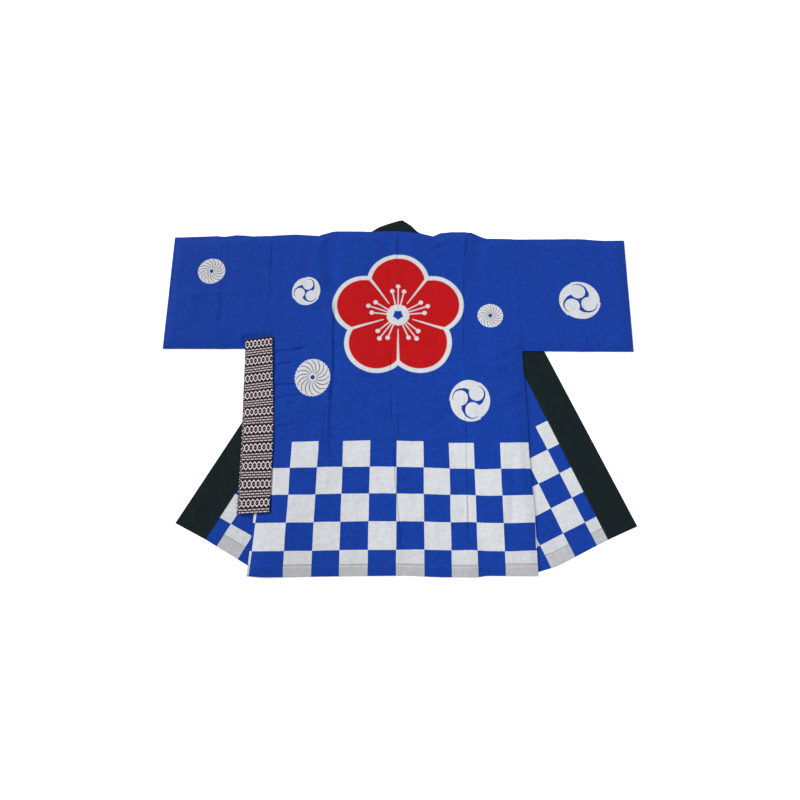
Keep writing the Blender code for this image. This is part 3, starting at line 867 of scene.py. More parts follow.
@dataclass(frozen=True)
class StudioFloor:
    """The pale floor, which glows a little, as a table lit from below does."""

    albedo: float = 0.93
    glow: float = 0.35
    roughness: float = 0.95
    specular: float = 0.1
    cloud_scale: float = 0.8
    clouds: tuple[float, float] = (0.99, 1.01)

    def build(self) -> bpy.types.Material:
        """Makes the material.

        Returns:
            The material.
        """
        made = bpy.data.materials.new("studio_floor")
        made.use_nodes = True
        g = Graph(made.node_tree)
        shader = made.node_tree.nodes["Principled BSDF"]
        cloudy = g.noise(g.node("ShaderNodeTexCoord").outputs["Object"], self.cloud_scale)
        tones = [(self.albedo * share,) * 3 for share in self.clouds]
        g.feed(shader.inputs["Base Color"], g.blend(cloudy, *tones))
        shader.inputs["Roughness"].default_value = self.roughness
        shader.inputs["Specular IOR Level"].default_value = self.specular
        shader.inputs["Emission Color"].default_value = (1.0, 1.0, 1.0, 1.0)
        shader.inputs["Emission Strength"].default_value = self.glow
        return made


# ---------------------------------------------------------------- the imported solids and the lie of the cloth


class Solid:
    """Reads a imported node: how high it lies and how far it reaches."""

    NEAR = (0.0, 0.0012, 0.003, 0.006)
    LEVEL_EDGE = 1e-9
    INSIDE = 0.003

    def __init__(self, name: str) -> None:
        """Reads the node's mesh.

        Args:
            name: The node's name.
        """
        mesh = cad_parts[name].data
        self.points = np.array([vertex.co[:] for vertex in mesh.vertices])
        faces = [tuple(face.vertices) for face in mesh.polygons]
        self.tree = BVHTree.FromPolygons([tuple(point) for point in self.points], faces)
        pairs = np.array([edge.vertices[:] for edge in mesh.edges])
        self.starts, self.ends = self.points[pairs[:, 0]], self.points[pairs[:, 1]]

    def reach(self, axis: int, value: float) -> tuple[float, float]:
        """Measures the node where it crosses a place.

        Args:
            axis: 0 to cross it at an x, 1 at a y.
            value: Where.

        Returns:
            The lowest and the highest place on the other ground axis.
        """
        a, b = self.starts[:, axis], self.ends[:, axis]
        crossing = ((a - value) * (b - value) <= 0) & (np.abs(a - b) > self.LEVEL_EDGE)
        share = (value - a[crossing]) / (b[crossing] - a[crossing])
        start, end = self.starts[crossing, 1 - axis], self.ends[crossing, 1 - axis]
        other = start + share * (end - start)
        return float(other.min()), float(other.max())

    def height(self, x: float, y: float, top: bool) -> float:
        """Finds the node's upper or lower face.

        Args:
            x: Where.
            y: Where.
            top: True for the upper face.

        Returns:
            The height there, or of the nearest place that the node covers.
        """
        start, way = (1.0, Vector((0, 0, -1))) if top else (-1.0, Vector((0, 0, 1)))
        for distance in self.NEAR:
            for turn in range(8 if distance else 1):
                angle = turn * math.tau / 8
                spot = Vector((x + distance * math.cos(angle), y + distance * math.sin(angle), start))
                hit = self.tree.ray_cast(spot, way)[0]
                if hit is not None:
                    return hit.z
        return self.tree.find_nearest(Vector((x, y, self.INSIDE)))[0].z

    def heights(self, xs: Array, ys: Array, top: bool, passes: int = 12) -> Array:
        """Finds the node's face on a grid and softens its facets.

        Args:
            xs: The places' x.
            ys: The places' y.
            top: True for the upper face.
            passes: How often the grid is softened.

        Returns:
            The heights.
        """
        grid = np.array([[self.height(x, y, top) for x, y in zip(*row)] for row in zip(xs, ys)])
        for _ in range(passes):
            for axis in (0, 1):
                padded = np.pad(grid, [(1, 1) if axis == k else (0, 0) for k in (0, 1)], mode="edge")
                low, high = (np.take(padded, range(s, s + grid.shape[axis]), axis) for s in (0, 2))
                grid = 0.25 * low + 0.5 * grid + 0.25 * high
        return grid


class Profile(Enum):
    """Ways in which a crease shapes the cloth.

    A fold drops sharply towards its line from the left or from above, and comes up slowly beyond it.
    """

    FOLD = "fold"
    SOFT = "soft"
    TROUGH = "trough"


@dataclass(frozen=True)
class Crease:
    """A listed crease: its line, its height or depth, its half width and its profile."""

    line: tuple[Place, ...]
    height: float
    half_width: float
    profile: Profile = Profile.SOFT
    steep: float = 0.005
    NOTCH_WIDTH: ClassVar[float] = 0.0019
    NOTCH_DEPTH: ClassVar[float] = 0.14
    FADE: ClassVar[float] = 4.5
    SWELL: ClassVar[tuple[float, float]] = (0.18, 11.0)
    RIPPLE: ClassVar[tuple[float, float]] = (0.1, 27.0)

    def lift(self, xs: Array, ys: Array) -> Array:
        """Works out how far the crease lifts the cloth.

        Args:
            xs: The places' x.
            ys: The places' y.

        Returns:
            The lift, below 0 in a fold or a trough.
        """
        nearest = np.full(xs.shape, np.inf)
        along = np.zeros(xs.shape)
        signed = np.zeros(xs.shape)
        spans = [math.dist(a, b) for a, b in zip(self.line, self.line[1:])]
        total = sum(spans)
        gone = 0.0
        for (ax, ay), (bx, by), span in zip(self.line, self.line[1:], spans):
            share = np.clip(((xs - ax) * (bx - ax) + (ys - ay) * (by - ay)) / span**2, 0.0, 1.0)
            off = np.hypot(xs - ax - share * (bx - ax), ys - ay - share * (by - ay))
            closer = off < nearest
            cross = (bx - ax) * (ys - ay) - (by - ay) * (xs - ax)
            towards = cross if bx - ax > abs(by - ay) else -cross
            signed = np.where(closer, np.where(towards > 0.0, -off, off), signed)
            nearest = np.where(closer, off, nearest)
            along = np.where(closer, (gone + share * span) / total, along)
            gone += span
        fade = np.clip(self.FADE * np.minimum(along, 1.0 - along), 0.0, 1.0)
        (swell, slow), (ripple, quick) = self.SWELL, self.RIPPLE
        start = 40.0 * self.line[0][0]
        uneven = 1.0 + swell * np.sin(slow * along + start) + ripple * np.sin(quick * along)
        if self.profile is Profile.FOLD:
            beyond = signed - 0.5 * self.steep
            drop = np.clip(1.0 + beyond / self.steep, 0.0, 1.0)
            drop = drop * drop * (3.0 - 2.0 * drop)
            notch = self.NOTCH_DEPTH * np.clip(1.0 - np.abs(beyond) / self.NOTCH_WIDTH, 0.0, 1.0)
            rise = np.exp(-np.abs(beyond) / self.half_width)
            shape = np.where(beyond < 0.0, drop, rise) + notch
        else:
            shape = np.exp(-((nearest / self.half_width) ** 2))
        sign = 1.0 if self.profile is Profile.SOFT else -1.0
        return sign * self.height * shape * uneven * fade * fade * (3.0 - 2.0 * fade)


class Lie:
    """How the cloth lies over its solids: creases of the top layer, and gentle ones of every layer."""

    # Lines of the long folds: from the top down, and from the left to the right
    LEFT = ((-0.1773, 0.4482), (-0.1721, 0.3027), (-0.1695, 0.2273), (-0.1694, 0.1185), (-0.1656, 0.0275),
            (-0.1692, -0.0218), (-0.172, -0.0776), (-0.1708, -0.1272), (-0.1699, -0.1876))
    SECOND = ((-0.2126, 0.4482), (-0.1921, 0.0249), (-0.182, -0.0423), (-0.1836, -0.1099), (-0.1813, -0.1757))
    CENTRE = ((-0.0279, 0.4482), (-0.0226, 0.1049), (-0.022, -0.0089), (-0.0212, -0.06), (-0.0199, -0.0876),
              (-0.0129, -0.1272), (-0.0127, -0.1876), (-0.0097, -0.2465), (-0.0003, -0.3374),
              (0.0087, -0.4353))
    NECK = ((-0.0062, 0.4796), (-0.0061, 0.3926), (-0.0073, 0.3174), (-0.0054, -0.0397), (-0.0028, -0.1),
            (-0.0028, -0.1515), (0.009, -0.2465), (0.0204, -0.3374), (0.0289, -0.4353))
    RIGHT = ((0.1821, 0.4482), (0.1782, 0.3623), (0.171, 0.3263), (0.1676, 0.2473), (0.1652, 0.2017),
             (0.1638, 0.1321), (0.1591, 0.0407), (0.1581, 0.004), (0.1596, -0.06), (0.1613, -0.1149),
             (0.1596, -0.19), (0.1583, -0.3285), (0.1558, -0.4353))
    SIDE = ((0.3103, 0.4482), (0.2719, -0.1805), (0.2612, -0.3374), (0.2561, -0.4031))
    LEVEL_1 = ((-0.3453, 0.076), (-0.2826, 0.0798), (-0.2251, 0.0894))
    LEVEL_2 = ((-0.3424, 0.0378), (-0.2558, 0.0507))
    LEVEL_3 = ((-0.3487, -0.0102), (-0.2944, -0.0102), (-0.2475, -0.0089))
    LEVEL_4 = ((-0.3358, -0.0517), (-0.2315, -0.0326))
    LEVEL_5 = ((-0.3061, -0.0681), (-0.2795, -0.063), (-0.2505, -0.0567))
    LEVEL_6 = ((-0.3027, -0.1179), (-0.2787, -0.1142), (-0.2547, -0.1105))
    DOWN = (SECOND, LEFT, CENTRE, NECK, RIGHT, SIDE)
    LEVEL = (LEVEL_6, LEVEL_5, LEVEL_4, LEVEL_3, LEVEL_2, LEVEL_1)

    FOLD, TROUGH = Profile.FOLD, Profile.TROUGH

    # How high the top layer lies between its creases, and how much it waves
    BASE = 0.0044
    WAVE = 0.0018
    TOP = (
        Crease(((-0.4782, 0.3987), (-0.4744, 0.3323), (-0.4661, 0.2187), (-0.4595, 0.0994)),
               0.0012, 0.02, FOLD),
        Crease(((-0.3429, 0.4082), (-0.3428, 0.3293), (-0.3394, 0.2616), (-0.332, 0.1944)),
               0.0011, 0.012, FOLD),
        Crease(((-0.5917, 0.2387), (-0.4799, 0.2402), (-0.3836, 0.2416)), 0.0013, 0.0045),
        Crease(((-0.5898, 0.1404), (-0.5264, 0.1431)), 0.0013, 0.0045),
        Crease(((-0.1816, 0.4607), (-0.1797, 0.3263), (-0.1737, 0.1933)), 0.0038, 0.017, TROUGH),
        Crease(((-0.216, 0.4607), (-0.214, 0.3263), (-0.208, 0.23)), 0.0019, 0.016),
        Crease(LEFT[2:6], 0.0027, 0.022, FOLD, 0.007),
        Crease(LEFT[4:], 0.0032, 0.025, FOLD, 0.01),
        Crease(SECOND[2:], 0.0012, 0.01, FOLD, 0.006),
        Crease(((-0.218, -0.0321), (-0.2158, -0.1025), (-0.2123, -0.1757)), 0.0008, 0.007, TROUGH),
        Crease(LEVEL_1, 0.0032, 0.016, FOLD, 0.007),
        Crease(LEVEL_2, 0.0024, 0.012, FOLD, 0.007),
        Crease(LEVEL_3, 0.0031, 0.016, FOLD, 0.006),
        Crease(LEVEL_4, 0.0016, 0.012, FOLD),
        Crease(LEVEL_5, 0.0012, 0.012, FOLD),
        Crease(LEVEL_6, 0.0018, 0.014, FOLD),
        Crease(NECK[:3], 0.0018, 0.016, FOLD),
        Crease(CENTRE[1:6], 0.0019, 0.018, FOLD),
        Crease(NECK[3:6], 0.0009, 0.015, FOLD),
        Crease(CENTRE[5:], 0.0016, 0.022, FOLD),
        Crease(((0.0318, 0.4357), (0.026, 0.3623)), 0.0012, 0.009),
        Crease(RIGHT[:3], 0.0019, 0.008, FOLD),
        Crease(((0.2186, 0.4682), (0.2082, 0.3027)), 0.0036, 0.018, TROUGH),
        Crease(((0.174, 0.4682), (0.17, 0.34)), 0.0015, 0.012),
        Crease(((0.2311, 0.3401), (0.2451, 0.2985), (0.2631, 0.2403)), 0.0018, 0.012, TROUGH),
        Crease(RIGHT[2:7], 0.0018, 0.026, FOLD),
        Crease(RIGHT[7:], 0.002, 0.022, FOLD),
        Crease(((0.0807, -0.0321), (0.0808, -0.1612)), 0.0009, 0.011),
        Crease(((0.0715, 0.3683), (0.1039, 0.3819), (0.1365, 0.3972)), 0.0018, 0.0055),
        Crease(((0.0818, 0.3412), (0.114, 0.3562), (0.1494, 0.3804)), 0.0014, 0.0065),
        Crease(((0.1607, 0.0806), (0.2252, 0.0592), (0.2945, 0.0859)), 0.0025, 0.0085),
        Crease(((0.1671, 0.0486), (0.2413, 0.0328), (0.2924, 0.0512)), 0.0022, 0.0075),
        Crease(((0.2098, -0.0038), (0.2844, 0.004)), 0.0021, 0.007, TROUGH),
        Crease(((0.2444, -0.0499), (0.3147, -0.0244)), 0.0025, 0.008),
        Crease(((0.2454, -0.0776), (0.3128, -0.0524)), 0.0018, 0.0065, TROUGH),
        Crease(SIDE[1:], 0.0016, 0.0085, TROUGH),
        Crease(((0.4635, 0.4295), (0.4545, 0.3027), (0.4553, 0.2273), (0.451, 0.1542)),
               0.0009, 0.018, FOLD),
        Crease(((0.5454, 0.411), (0.5395, 0.3086), (0.541, 0.2273)), 0.0005, 0.015, FOLD),
        Crease(((0.35, 0.11), (0.38, 0.17), (0.39, 0.25)), 0.001, 0.013),
        Crease(((-0.37, 0.13), (-0.4, 0.2), (-0.405, 0.28)), 0.001, 0.013),
        Crease(((-0.26, -0.18), (-0.256, -0.32), (-0.262, -0.455)), 0.0009, 0.012),
        Crease(((-0.113, -0.25), (-0.104, -0.35), (-0.111, -0.455)), 0.0009, 0.011),
        Crease(((0.085, -0.25), (0.079, -0.36), (0.085, -0.458)), 0.001, 0.01),
        Crease(((-0.329, -0.29), (-0.333, -0.395), (-0.3376, -0.49)), 0.001, 0.0016, TROUGH),
    )
    EVERY = (
        Crease(((-0.56, 0.38), (-0.54, 0.25), (-0.55, 0.11)), 0.001, 0.023),
        Crease(((-0.27, 0.39), (-0.262, 0.2), (-0.275, 0.02)), 0.0011, 0.024),
        Crease(((-0.105, 0.3), (-0.098, 0.09), (-0.11, -0.12)), 0.001, 0.026),
        Crease(((0.06, 0.28), (0.072, 0.06), (0.06, -0.18)), 0.0011, 0.026),
        Crease(((0.24, 0.38), (0.25, 0.18), (0.236, -0.06)), 0.001, 0.025),
        Crease(((0.395, 0.38), (0.4, 0.25), (0.392, 0.11)), 0.001, 0.023),
        Crease(((-0.3, -0.18), (-0.16, -0.215), (-0.02, -0.19)), 0.0008, 0.028),
        Crease(((0.02, -0.29), (0.15, -0.27), (0.29, -0.31)), 0.0009, 0.028),
        Crease(((-0.432, -0.25), (-0.47, -0.315), (-0.49, -0.36)), 0.0012, 0.011),
        Crease(((0.47, -0.215), (0.5, -0.28), (0.52, -0.35)), 0.0012, 0.011),
        Crease(((-0.425, -0.345), (-0.38, -0.372), (-0.35, -0.4)), 0.0009, 0.01),
        Crease(((0.345, -0.19), (0.375, -0.27), (0.385, -0.35)), 0.001, 0.012),
        Crease(((0.425, -0.3), (0.44, -0.35), (0.46, -0.39)), 0.0009, 0.008),
    )

    # Where the belt presses the cloth flat, and how the top layer rises from its free edges
    BELT_MIDDLE = ((-0.3582, 0.117), (-0.3354, -0.326))
    BELT_HALF_WIDTH = 0.037
    BELT_RAMP = 0.008
    EDGE_RISE = 0.024
    EDGE_LEFT = 0.25

    @classmethod
    def under_belt(cls, xs: Array, ys: Array) -> Array:
        """Says how far the belt leaves the cloth free.

        Args:
            xs: The places' x.
            ys: The places' y.

        Returns:
            0 under the belt, 1 a little way off it.
        """
        (ax, ay), (bx, by) = cls.BELT_MIDDLE
        span = math.dist((ax, ay), (bx, by))
        along = ((xs - ax) * (bx - ax) + (ys - ay) * (by - ay)) / span
        aside = np.abs((bx - ax) * (ys - ay) - (by - ay) * (xs - ax)) / span
        past = np.maximum(np.maximum(-along, along - span), 0.0)
        off = np.hypot(np.maximum(aside - cls.BELT_HALF_WIDTH, 0.0), past)
        free = np.clip(off / cls.BELT_RAMP, 0.0, 1.0)
        return free * free * (3.0 - 2.0 * free)

    @classmethod
    def every(cls, xs: Array, ys: Array) -> Array:
        """Lifts every layer alike, never below its solid."""
        total = sum(crease.lift(xs, ys) for crease in cls.EVERY)
        return np.maximum(total, 0.0) * cls.under_belt(xs, ys)

    @classmethod
    def top(cls, xs: Array, ys: Array, off_edge: Array) -> Array:
        """Lifts the top layer alone, with soft undulations between the creases.

        Args:
            xs: The places' x.
            ys: The places' y.
            off_edge: How far each place is from the piece's free edges, where the cloth lies lower.

        Returns:
            The lift, never below 0.
        """
        waves = np.array([[noise.noise(Vector((x * 14.0, y * 9.0, 0.3)))
                           + 0.45 * noise.noise(Vector((x * 38.0, y * 24.0, 4.0)))
                           for x, y in zip(*row)] for row in zip(xs, ys)])
        total = cls.BASE + cls.WAVE * waves + sum(crease.lift(xs, ys) for crease in cls.TOP)
        risen = np.clip(off_edge / cls.EDGE_RISE, 0.0, 1.0)
        risen = cls.EDGE_LEFT + (1.0 - cls.EDGE_LEFT) * risen * risen * (3.0 - 2.0 * risen)
        return np.maximum(total, 0.0) * cls.under_belt(xs, ys) * risen


# ---------------------------------------------------------------- shells


def spaced(length: float, step: float = STEP, near: tuple[float, ...] = (EDGE,)) -> Array:
    """Spaces places evenly, with close ones at both ends so that edges are rounded.

    Args:
        length: The whole length.
        step: The even spacing.
        near: Distances of the close ones from an end.

    Returns:
        The places as shares, from 0 to 1.
    """
    even = np.linspace(0.0, 1.0, max(2, round(length / step)) + 1)
    close = [distance / length for distance in near]
    return np.unique(np.concatenate([even, close, [1.0 - share for share in close]]))


def merged(even: Array, exact: Array) -> Array:
    """Adds exact places to even ones, leaving out the even ones that lie too close to them."""
    apart = np.abs(even[:, None] - exact[None, :]).min(1) > CLOSEST
    return np.sort(np.concatenate([even[apart], exact]))


def beside(middles: list[float]) -> Array:
    """Spaces close places on both sides of folds.

    Args:
        middles: The folds' own places.

    Returns:
        The places.
    """
    off = (0.0008, 0.0016, 0.0026, 0.0036, 0.005)
    offsets = [-distance for distance in reversed(off)] + [0.0, *off]
    return np.concatenate([np.array(middles) + offset for offset in offsets])


def follow(grid: Array, marks: list[int], targets: list[Array]) -> Array:
    """Bends the rows of a grid so that some of its columns lie on lines.

    Args:
        grid: One coordinate of the grid, growing along each row.
        marks: The columns.
        targets: The coordinate that each of them has in every row.

    Returns:
        The bent grid.
    """
    bent = np.empty_like(grid)
    for number, row in enumerate(grid):
        places = [row[0], *(target[number] for target in targets), row[-1]]
        bent[number] = np.interp(row, row[[0, *marks, -1]], places)
    return bent


@dataclass
class Shell:
    """A closed sheet of cloth: its outer face, its inner face, and which cells are there."""

    outer: Array
    inner: Array
    present: Array | None = None
    around: bool = False
    band: Array | None = None
    # How grey the undyed cloth is painted: the turned-up hem band, and painted shade along its stitching
    greyer_hem_and_shade: Array | None = None
    rounded: tuple[bool | Array, ...] = (True, True, True, True)
    EDGE_THICKNESS: ClassVar[float] = 0.45
    SHARP: ClassVar[float] = math.radians(60)

    def pinch(self) -> None:
        """Draws the two faces together at the sheet's free edges, so that the edges look rounded."""
        middle = 0.5 * (self.outer + self.inner)
        every = slice(None)
        for wanted, spot in zip(self.rounded, ((0, every), (-1, every), (every, 0), (every, -1))):
            if not (self.around and spot[0] == every):
                share = np.where(np.atleast_1d(wanted), self.EDGE_THICKNESS, 1.0)[:, None]
                for face in (self.outer, self.inner):
                    face[spot] = middle[spot] + share * (face[spot] - middle[spot])

    def build(self, name: str) -> Piece:
        """Makes the sheet's object.

        Args:
            name: Its name.

        Returns:
            The object, at the origin.
        """
        self.pinch()
        rows, columns = self.outer.shape[:2]
        wide = columns if self.around else columns - 1
        present = np.ones((rows - 1, wide), bool) if self.present is None else self.present
        count = rows * columns
        faces = []
        sides: dict[tuple[int, int], tuple[int, int]] = {}
        for row, column in np.argwhere(present):
            this, above, after = row * columns, (row + 1) * columns, (column + 1) % columns
            cell = [this + column, this + after, above + after, above + column]
            faces.append(cell)
            faces.append([count + corner for corner in reversed(cell)])
            for start, end in zip(cell, cell[1:] + cell[:1]):
                if (end, start) in sides:
                    del sides[(end, start)]
                else:
                    sides[(start, end)] = (start, end)
        faces += [[end, start, count + start, count + end] for start, end in sides]
        points = np.concatenate([self.outer.reshape(-1, 3), self.inner.reshape(-1, 3)])
        mesh = bpy.data.meshes.new(name)
        mesh.from_pydata(points.tolist(), [], faces)
        if self.band is not None:
            flat = np.concatenate([self.band.reshape(-1, 2)] * 2)
            corners = np.zeros(len(mesh.loops), np.int32)
            mesh.loops.foreach_get("vertex_index", corners)
            mesh.uv_layers.new(name="cloth").data.foreach_set("uv", flat[corners].astype(np.float32).ravel())
        if self.greyer_hem_and_shade is not None:
            values = np.concatenate([self.greyer_hem_and_shade.ravel()] * 2).astype(np.float32)
            mesh.attributes.new("greyer_hem_and_shade", "FLOAT", "POINT").data.foreach_set("value", values)
        builder = bmesh.new()
        builder.from_mesh(mesh)
        bmesh.ops.delete(builder, geom=[v for v in builder.verts if not v.link_faces], context="VERTS")
        bmesh.ops.recalc_face_normals(builder, faces=builder.faces)
        builder.to_mesh(mesh)
        builder.free()
        mesh.shade_smooth()
        mesh.set_sharp_from_angle(angle=self.SHARP)
        made = bpy.data.objects.new(name, mesh)
        bpy.context.scene.collection.objects.link(made)
        return made


def half_turn(xs: Array, ys: Array, heading: tuple[Array | float, Array | float],
              low: Array, high: Array, steps: int) -> tuple[list[Array], list[Array]]:
    """Rounds a fold between an upper and a lower wall.

    Args:
        xs: Where the fold starts.
        ys: Where the fold starts.
        heading: Its outward direction on the ground.
        low: Height of the lower wall's outer face.
        high: Height of the upper wall's outer face.
        steps: How many steps the round has.

    Returns:
        The outer and the inner points, from the upper wall to the lower one, without the first and last.
    """
    outer, inner = [], []
    reach, middle = 0.5 * (high - low), 0.5 * (high + low)
    for step in range(1, steps):
        angle = math.pi * step / steps
        for points, radius in ((outer, reach), (inner, np.maximum(reach - WALL, 0.0001))):
            out, up = radius * math.sin(angle), radius * math.cos(angle)
            points.append(np.stack([xs + heading[0] * out, ys + heading[1] * out, middle + up], axis=-1))
    return outer, inner


def dress(piece: Piece, material: bpy.types.Material, node: str | None) -> None:
    """Gives a piece its finish and its place in the model.

    Args:
        piece: The piece.
        material: Its finish.
        node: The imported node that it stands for, if any.
    """
    piece.data.materials.clear()
    piece.data.materials.append(material)
    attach(piece, "root")
    if node:
        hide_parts(node)


# ---------------------------------------------------------------- the coat


def hem_rows(length: float, slant: float = 1.0) -> Array:
    """Spaces rows from a hem upwards, close ones at its edge and at its stitching.

    Args:
        length: Length of the panel.
        slant: How much further apart the rows are along this panel's side than square to its hem.

    Returns:
        Distances from the hem, along the panel.
    """
    close = [0.0, EDGE, 0.004, 0.01, 0.017, 0.0215, 0.0235, 0.0245, 0.0255, 0.0275, 0.032]
    close = [slant * distance for distance in close]
    count = round((length - close[-1]) / STEP)
    even = [close[-1] + (length - close[-1]) * (row + 1) / count for row in range(count)]
    return np.array(close + even)


def grey_of_hem_and_stitch_shade(distance: Array) -> Array:
    """Says how grey undyed cloth is painted at a distance from the hem: greyer across the hem band, darkest at
    the hem's sewn edge, which is painted shade in the stitching's groove, and faintly grey just above it.
    """
    places = (0.0, 0.017, 0.0215, 0.0235, 0.0245, 0.0255, 0.0275, 0.05, 0.06)
    return np.interp(distance, places, (0.56, 0.58, 0.46, 0.52, 1.0, 1.0, 0.11, 0.09, 0.0))


def hem_lift(distance: Array) -> Array:
    """Gives the step of a turned-up hem, with the groove of its stitching.

    Args:
        distance: Distances from the hem's edge.

    Returns:
        The lift of the outer face.
    """
    step, half_ramp = 0.0005, 0.0008
    depth, half_width, above_stitching = 0.00035, 0.0013, 0.0005
    inside = np.clip((HEM + half_ramp - distance) / (2.0 * half_ramp), 0.0, 1.0)
    groove = np.exp(-(((distance - HEM + above_stitching) / half_width) ** 2))
    return step * inside - depth * groove


@dataclass
class Laid:
    """A panel's grid on the ground, and how far its columns and rows are along the panel."""

    xs: Array
    ys: Array
    places: Array
    distance: Array
    off_edge: Array


@dataclass
class Back:
    """The back: one sheet with its hem turned up, folded over at both shoulders.

    Along two rows, an upper and a lower one, the edges of the checks and how far they sag are listed.
    """

    neck: tuple[float, float] = (-0.0844, 0.052)
    top_y: float = 0.385
    hem_y: float = -0.455
    side_inset: float = 0.0008
    top_inset: float = 0.004
    square_hem: tuple[float, float] = (0.04, 0.05)
    return_y: tuple[float, float] = (0.3985, 0.3885)
    turn_steps: int = 7
    sleeve_foot: float = 0.085
    right_inset: tuple[tuple[float, ...], tuple[float, ...]] = (
        (-0.32, -0.257, -0.193, -0.159, -0.1),
        (0.0, 0.0022, 0.003, 0.0025, 0.0))
    print_foot: float = -0.153
    print_rows: tuple[float, float] = (-0.185, -0.415)
    print_edges: tuple[tuple[float, ...], tuple[float, ...]] = (
        (-0.257, -0.1934, -0.1347, -0.0696, -0.006, 0.0582, 0.1193, 0.1789, 0.2416),
        (-0.2602, -0.1977, -0.1353, -0.071, -0.0067, 0.0572, 0.1188, 0.1781, 0.2391))
    sag_places: tuple[float, ...] = (
        -0.33, -0.289, -0.207, -0.179, -0.1, -0.04, 0.026, 0.05, 0.093, 0.125, 0.162, 0.2, 0.251, 0.298)
    sags: tuple[tuple[float, ...], tuple[float, ...]] = (
        (-0.0035, -0.003, -0.0014, 0.0004, 0.0009, 0.0017, 0.0002, 0.0, -0.0024, -0.0041, -0.004, -0.0054,
         -0.0045, -0.0042),
        (-0.0023, -0.0023, -0.0026, -0.0011, 0.0, 0.0002, 0.0006, 0.0005, -0.0003, -0.0008, -0.0002, -0.0025,
         -0.0029, -0.0008))
    print_: PrintedCotton = PrintedCotton(
        "blue_cotton_back",
        checks=Checks(0.0, -5.0, 4.0),
        commas=(Roundel((-0.2427, 0.2431), 0.0375, math.radians(77.0), 1.1),
                Roundel((0.1737, -0.0525), 0.05, math.radians(45.0), 1.07)),
        flowers=(Roundel((-0.215, 0.0062), 0.0441, math.radians(15.2), 1.11),
                 Roundel((0.2345, 0.173), 0.033, math.radians(3.1))),
        blossom=Roundel((-0.003, 0.176), 0.163, math.radians(90.0)),
        strips=(((-0.3366, -0.458), (-0.3303, -0.33)), ((0.3108, -0.4), (0.3145, -0.32))),
    )

    def print_place(self, xs: Array, ys: Array) -> Array:
        """Args:
            xs: The cloth's x.
            ys: The cloth's y.

        Returns:
            The place in the print, across and up.
        """
        upper_row, lower_row = self.print_rows
        low = np.clip((upper_row - ys) / (upper_row - lower_row), 0.0, 1.0)
        both = []
        for edges in self.print_edges:
            half = len(edges) // 2
            inside = np.interp(xs, edges, CHECK * np.arange(-half, half + 1))
            both.append(inside + np.minimum(xs - edges[0], 0.0) + np.maximum(xs - edges[-1], 0.0))
        sags = [np.interp(xs, self.sag_places, row) for row in self.sags]
        across = both[0] + (both[1] - both[0]) * low
        up = ys - sags[0] - (sags[1] - sags[0]) * low - self.print_foot + 4.0 * CHECK
        return np.stack([across, up], -1)

    def lay(self, solid: Solid) -> Laid:
        """Lays the grid, with close rows and columns along the folds and at the hem.

        Args:
            solid: The back's solid.

        Returns:
            The grid of the back's upper wall, from the hem to the shoulders.
        """
        low_x, high_x = solid.reach(1, self.top_y)
        hem_low, hem_high = solid.reach(1, self.hem_y)
        places = low_x + spaced(high_x - low_x, ACROSS) * (high_x - low_x)
        down = [float(np.mean([place[0] for place in line])) for line in Lie.DOWN]
        places = merged(merged(places, beside(down)), np.array(self.neck))
        inside = np.clip(places, low_x + self.side_inset, high_x - self.side_inset)
        hem_places = hem_low + (inside - low_x) / (high_x - low_x) * (hem_high - hem_low)
        top = np.array([solid.reach(0, x)[1] for x in inside])
        hem = np.array([solid.reach(0, x)[0] for x in hem_places])
        below_top = [(x, y - self.top_inset) for x, y in zip(inside, top)]
        rise = np.array([solid.height(*spot, True) - solid.height(*spot, False) for spot in below_top])
        top = np.where(self.in_neck(places), top, top - 0.5 * rise)
        level = [float(np.mean([place[1] for place in line]) - np.mean(hem)) for line in Lie.LEVEL]
        distance = merged(hem_rows(float(np.mean(top - hem))), beside(level))
        share = distance / distance[-1]
        ys = hem[None, :] + (top - hem)[None, :] * share[:, None]
        square, blended = self.square_hem
        near = np.clip(distance, 0.0, blended)[:, None]
        ys = np.where(distance[:, None] < square, hem[None, :] + near, ys)
        row_y = ys.mean(1)
        lefts, rights = np.array([solid.reach(1, min(max(y, self.hem_y), self.top_y)) for y in row_y]).T
        rights = rights - np.interp(row_y, *self.right_inset)
        xs = lefts[:, None] + (places - low_x)[None, :] / (high_x - low_x) * (rights - lefts)[:, None]
        level_y = [np.interp(xs[len(ys) // 2], *zip(*line)) for line in Lie.LEVEL]
        down_x = [np.interp(row_y, *reversed(list(zip(*line[::-1])))) for line in Lie.DOWN]
        xs = follow(xs, [int(np.argmin(np.abs(places - place))) for place in down], down_x)
        ys = follow(ys.T, [int(np.argmin(np.abs(distance - place))) for place in level], level_y).T
        off_side = np.minimum(xs - lefts[:, None], rights[:, None] - xs)
        off_side = off_side + np.maximum(ys - self.sleeve_foot, 0.0)
        off_edge = np.minimum(np.minimum(off_side, distance[:, None]), top[None, :] - ys)
        return Laid(xs, ys, places, distance, off_edge)

    def in_neck(self, places: Array) -> Array:
        """Says which columns end at the neck, where nothing is folded over."""
        return (places >= self.neck[0]) & (places <= self.neck[1])

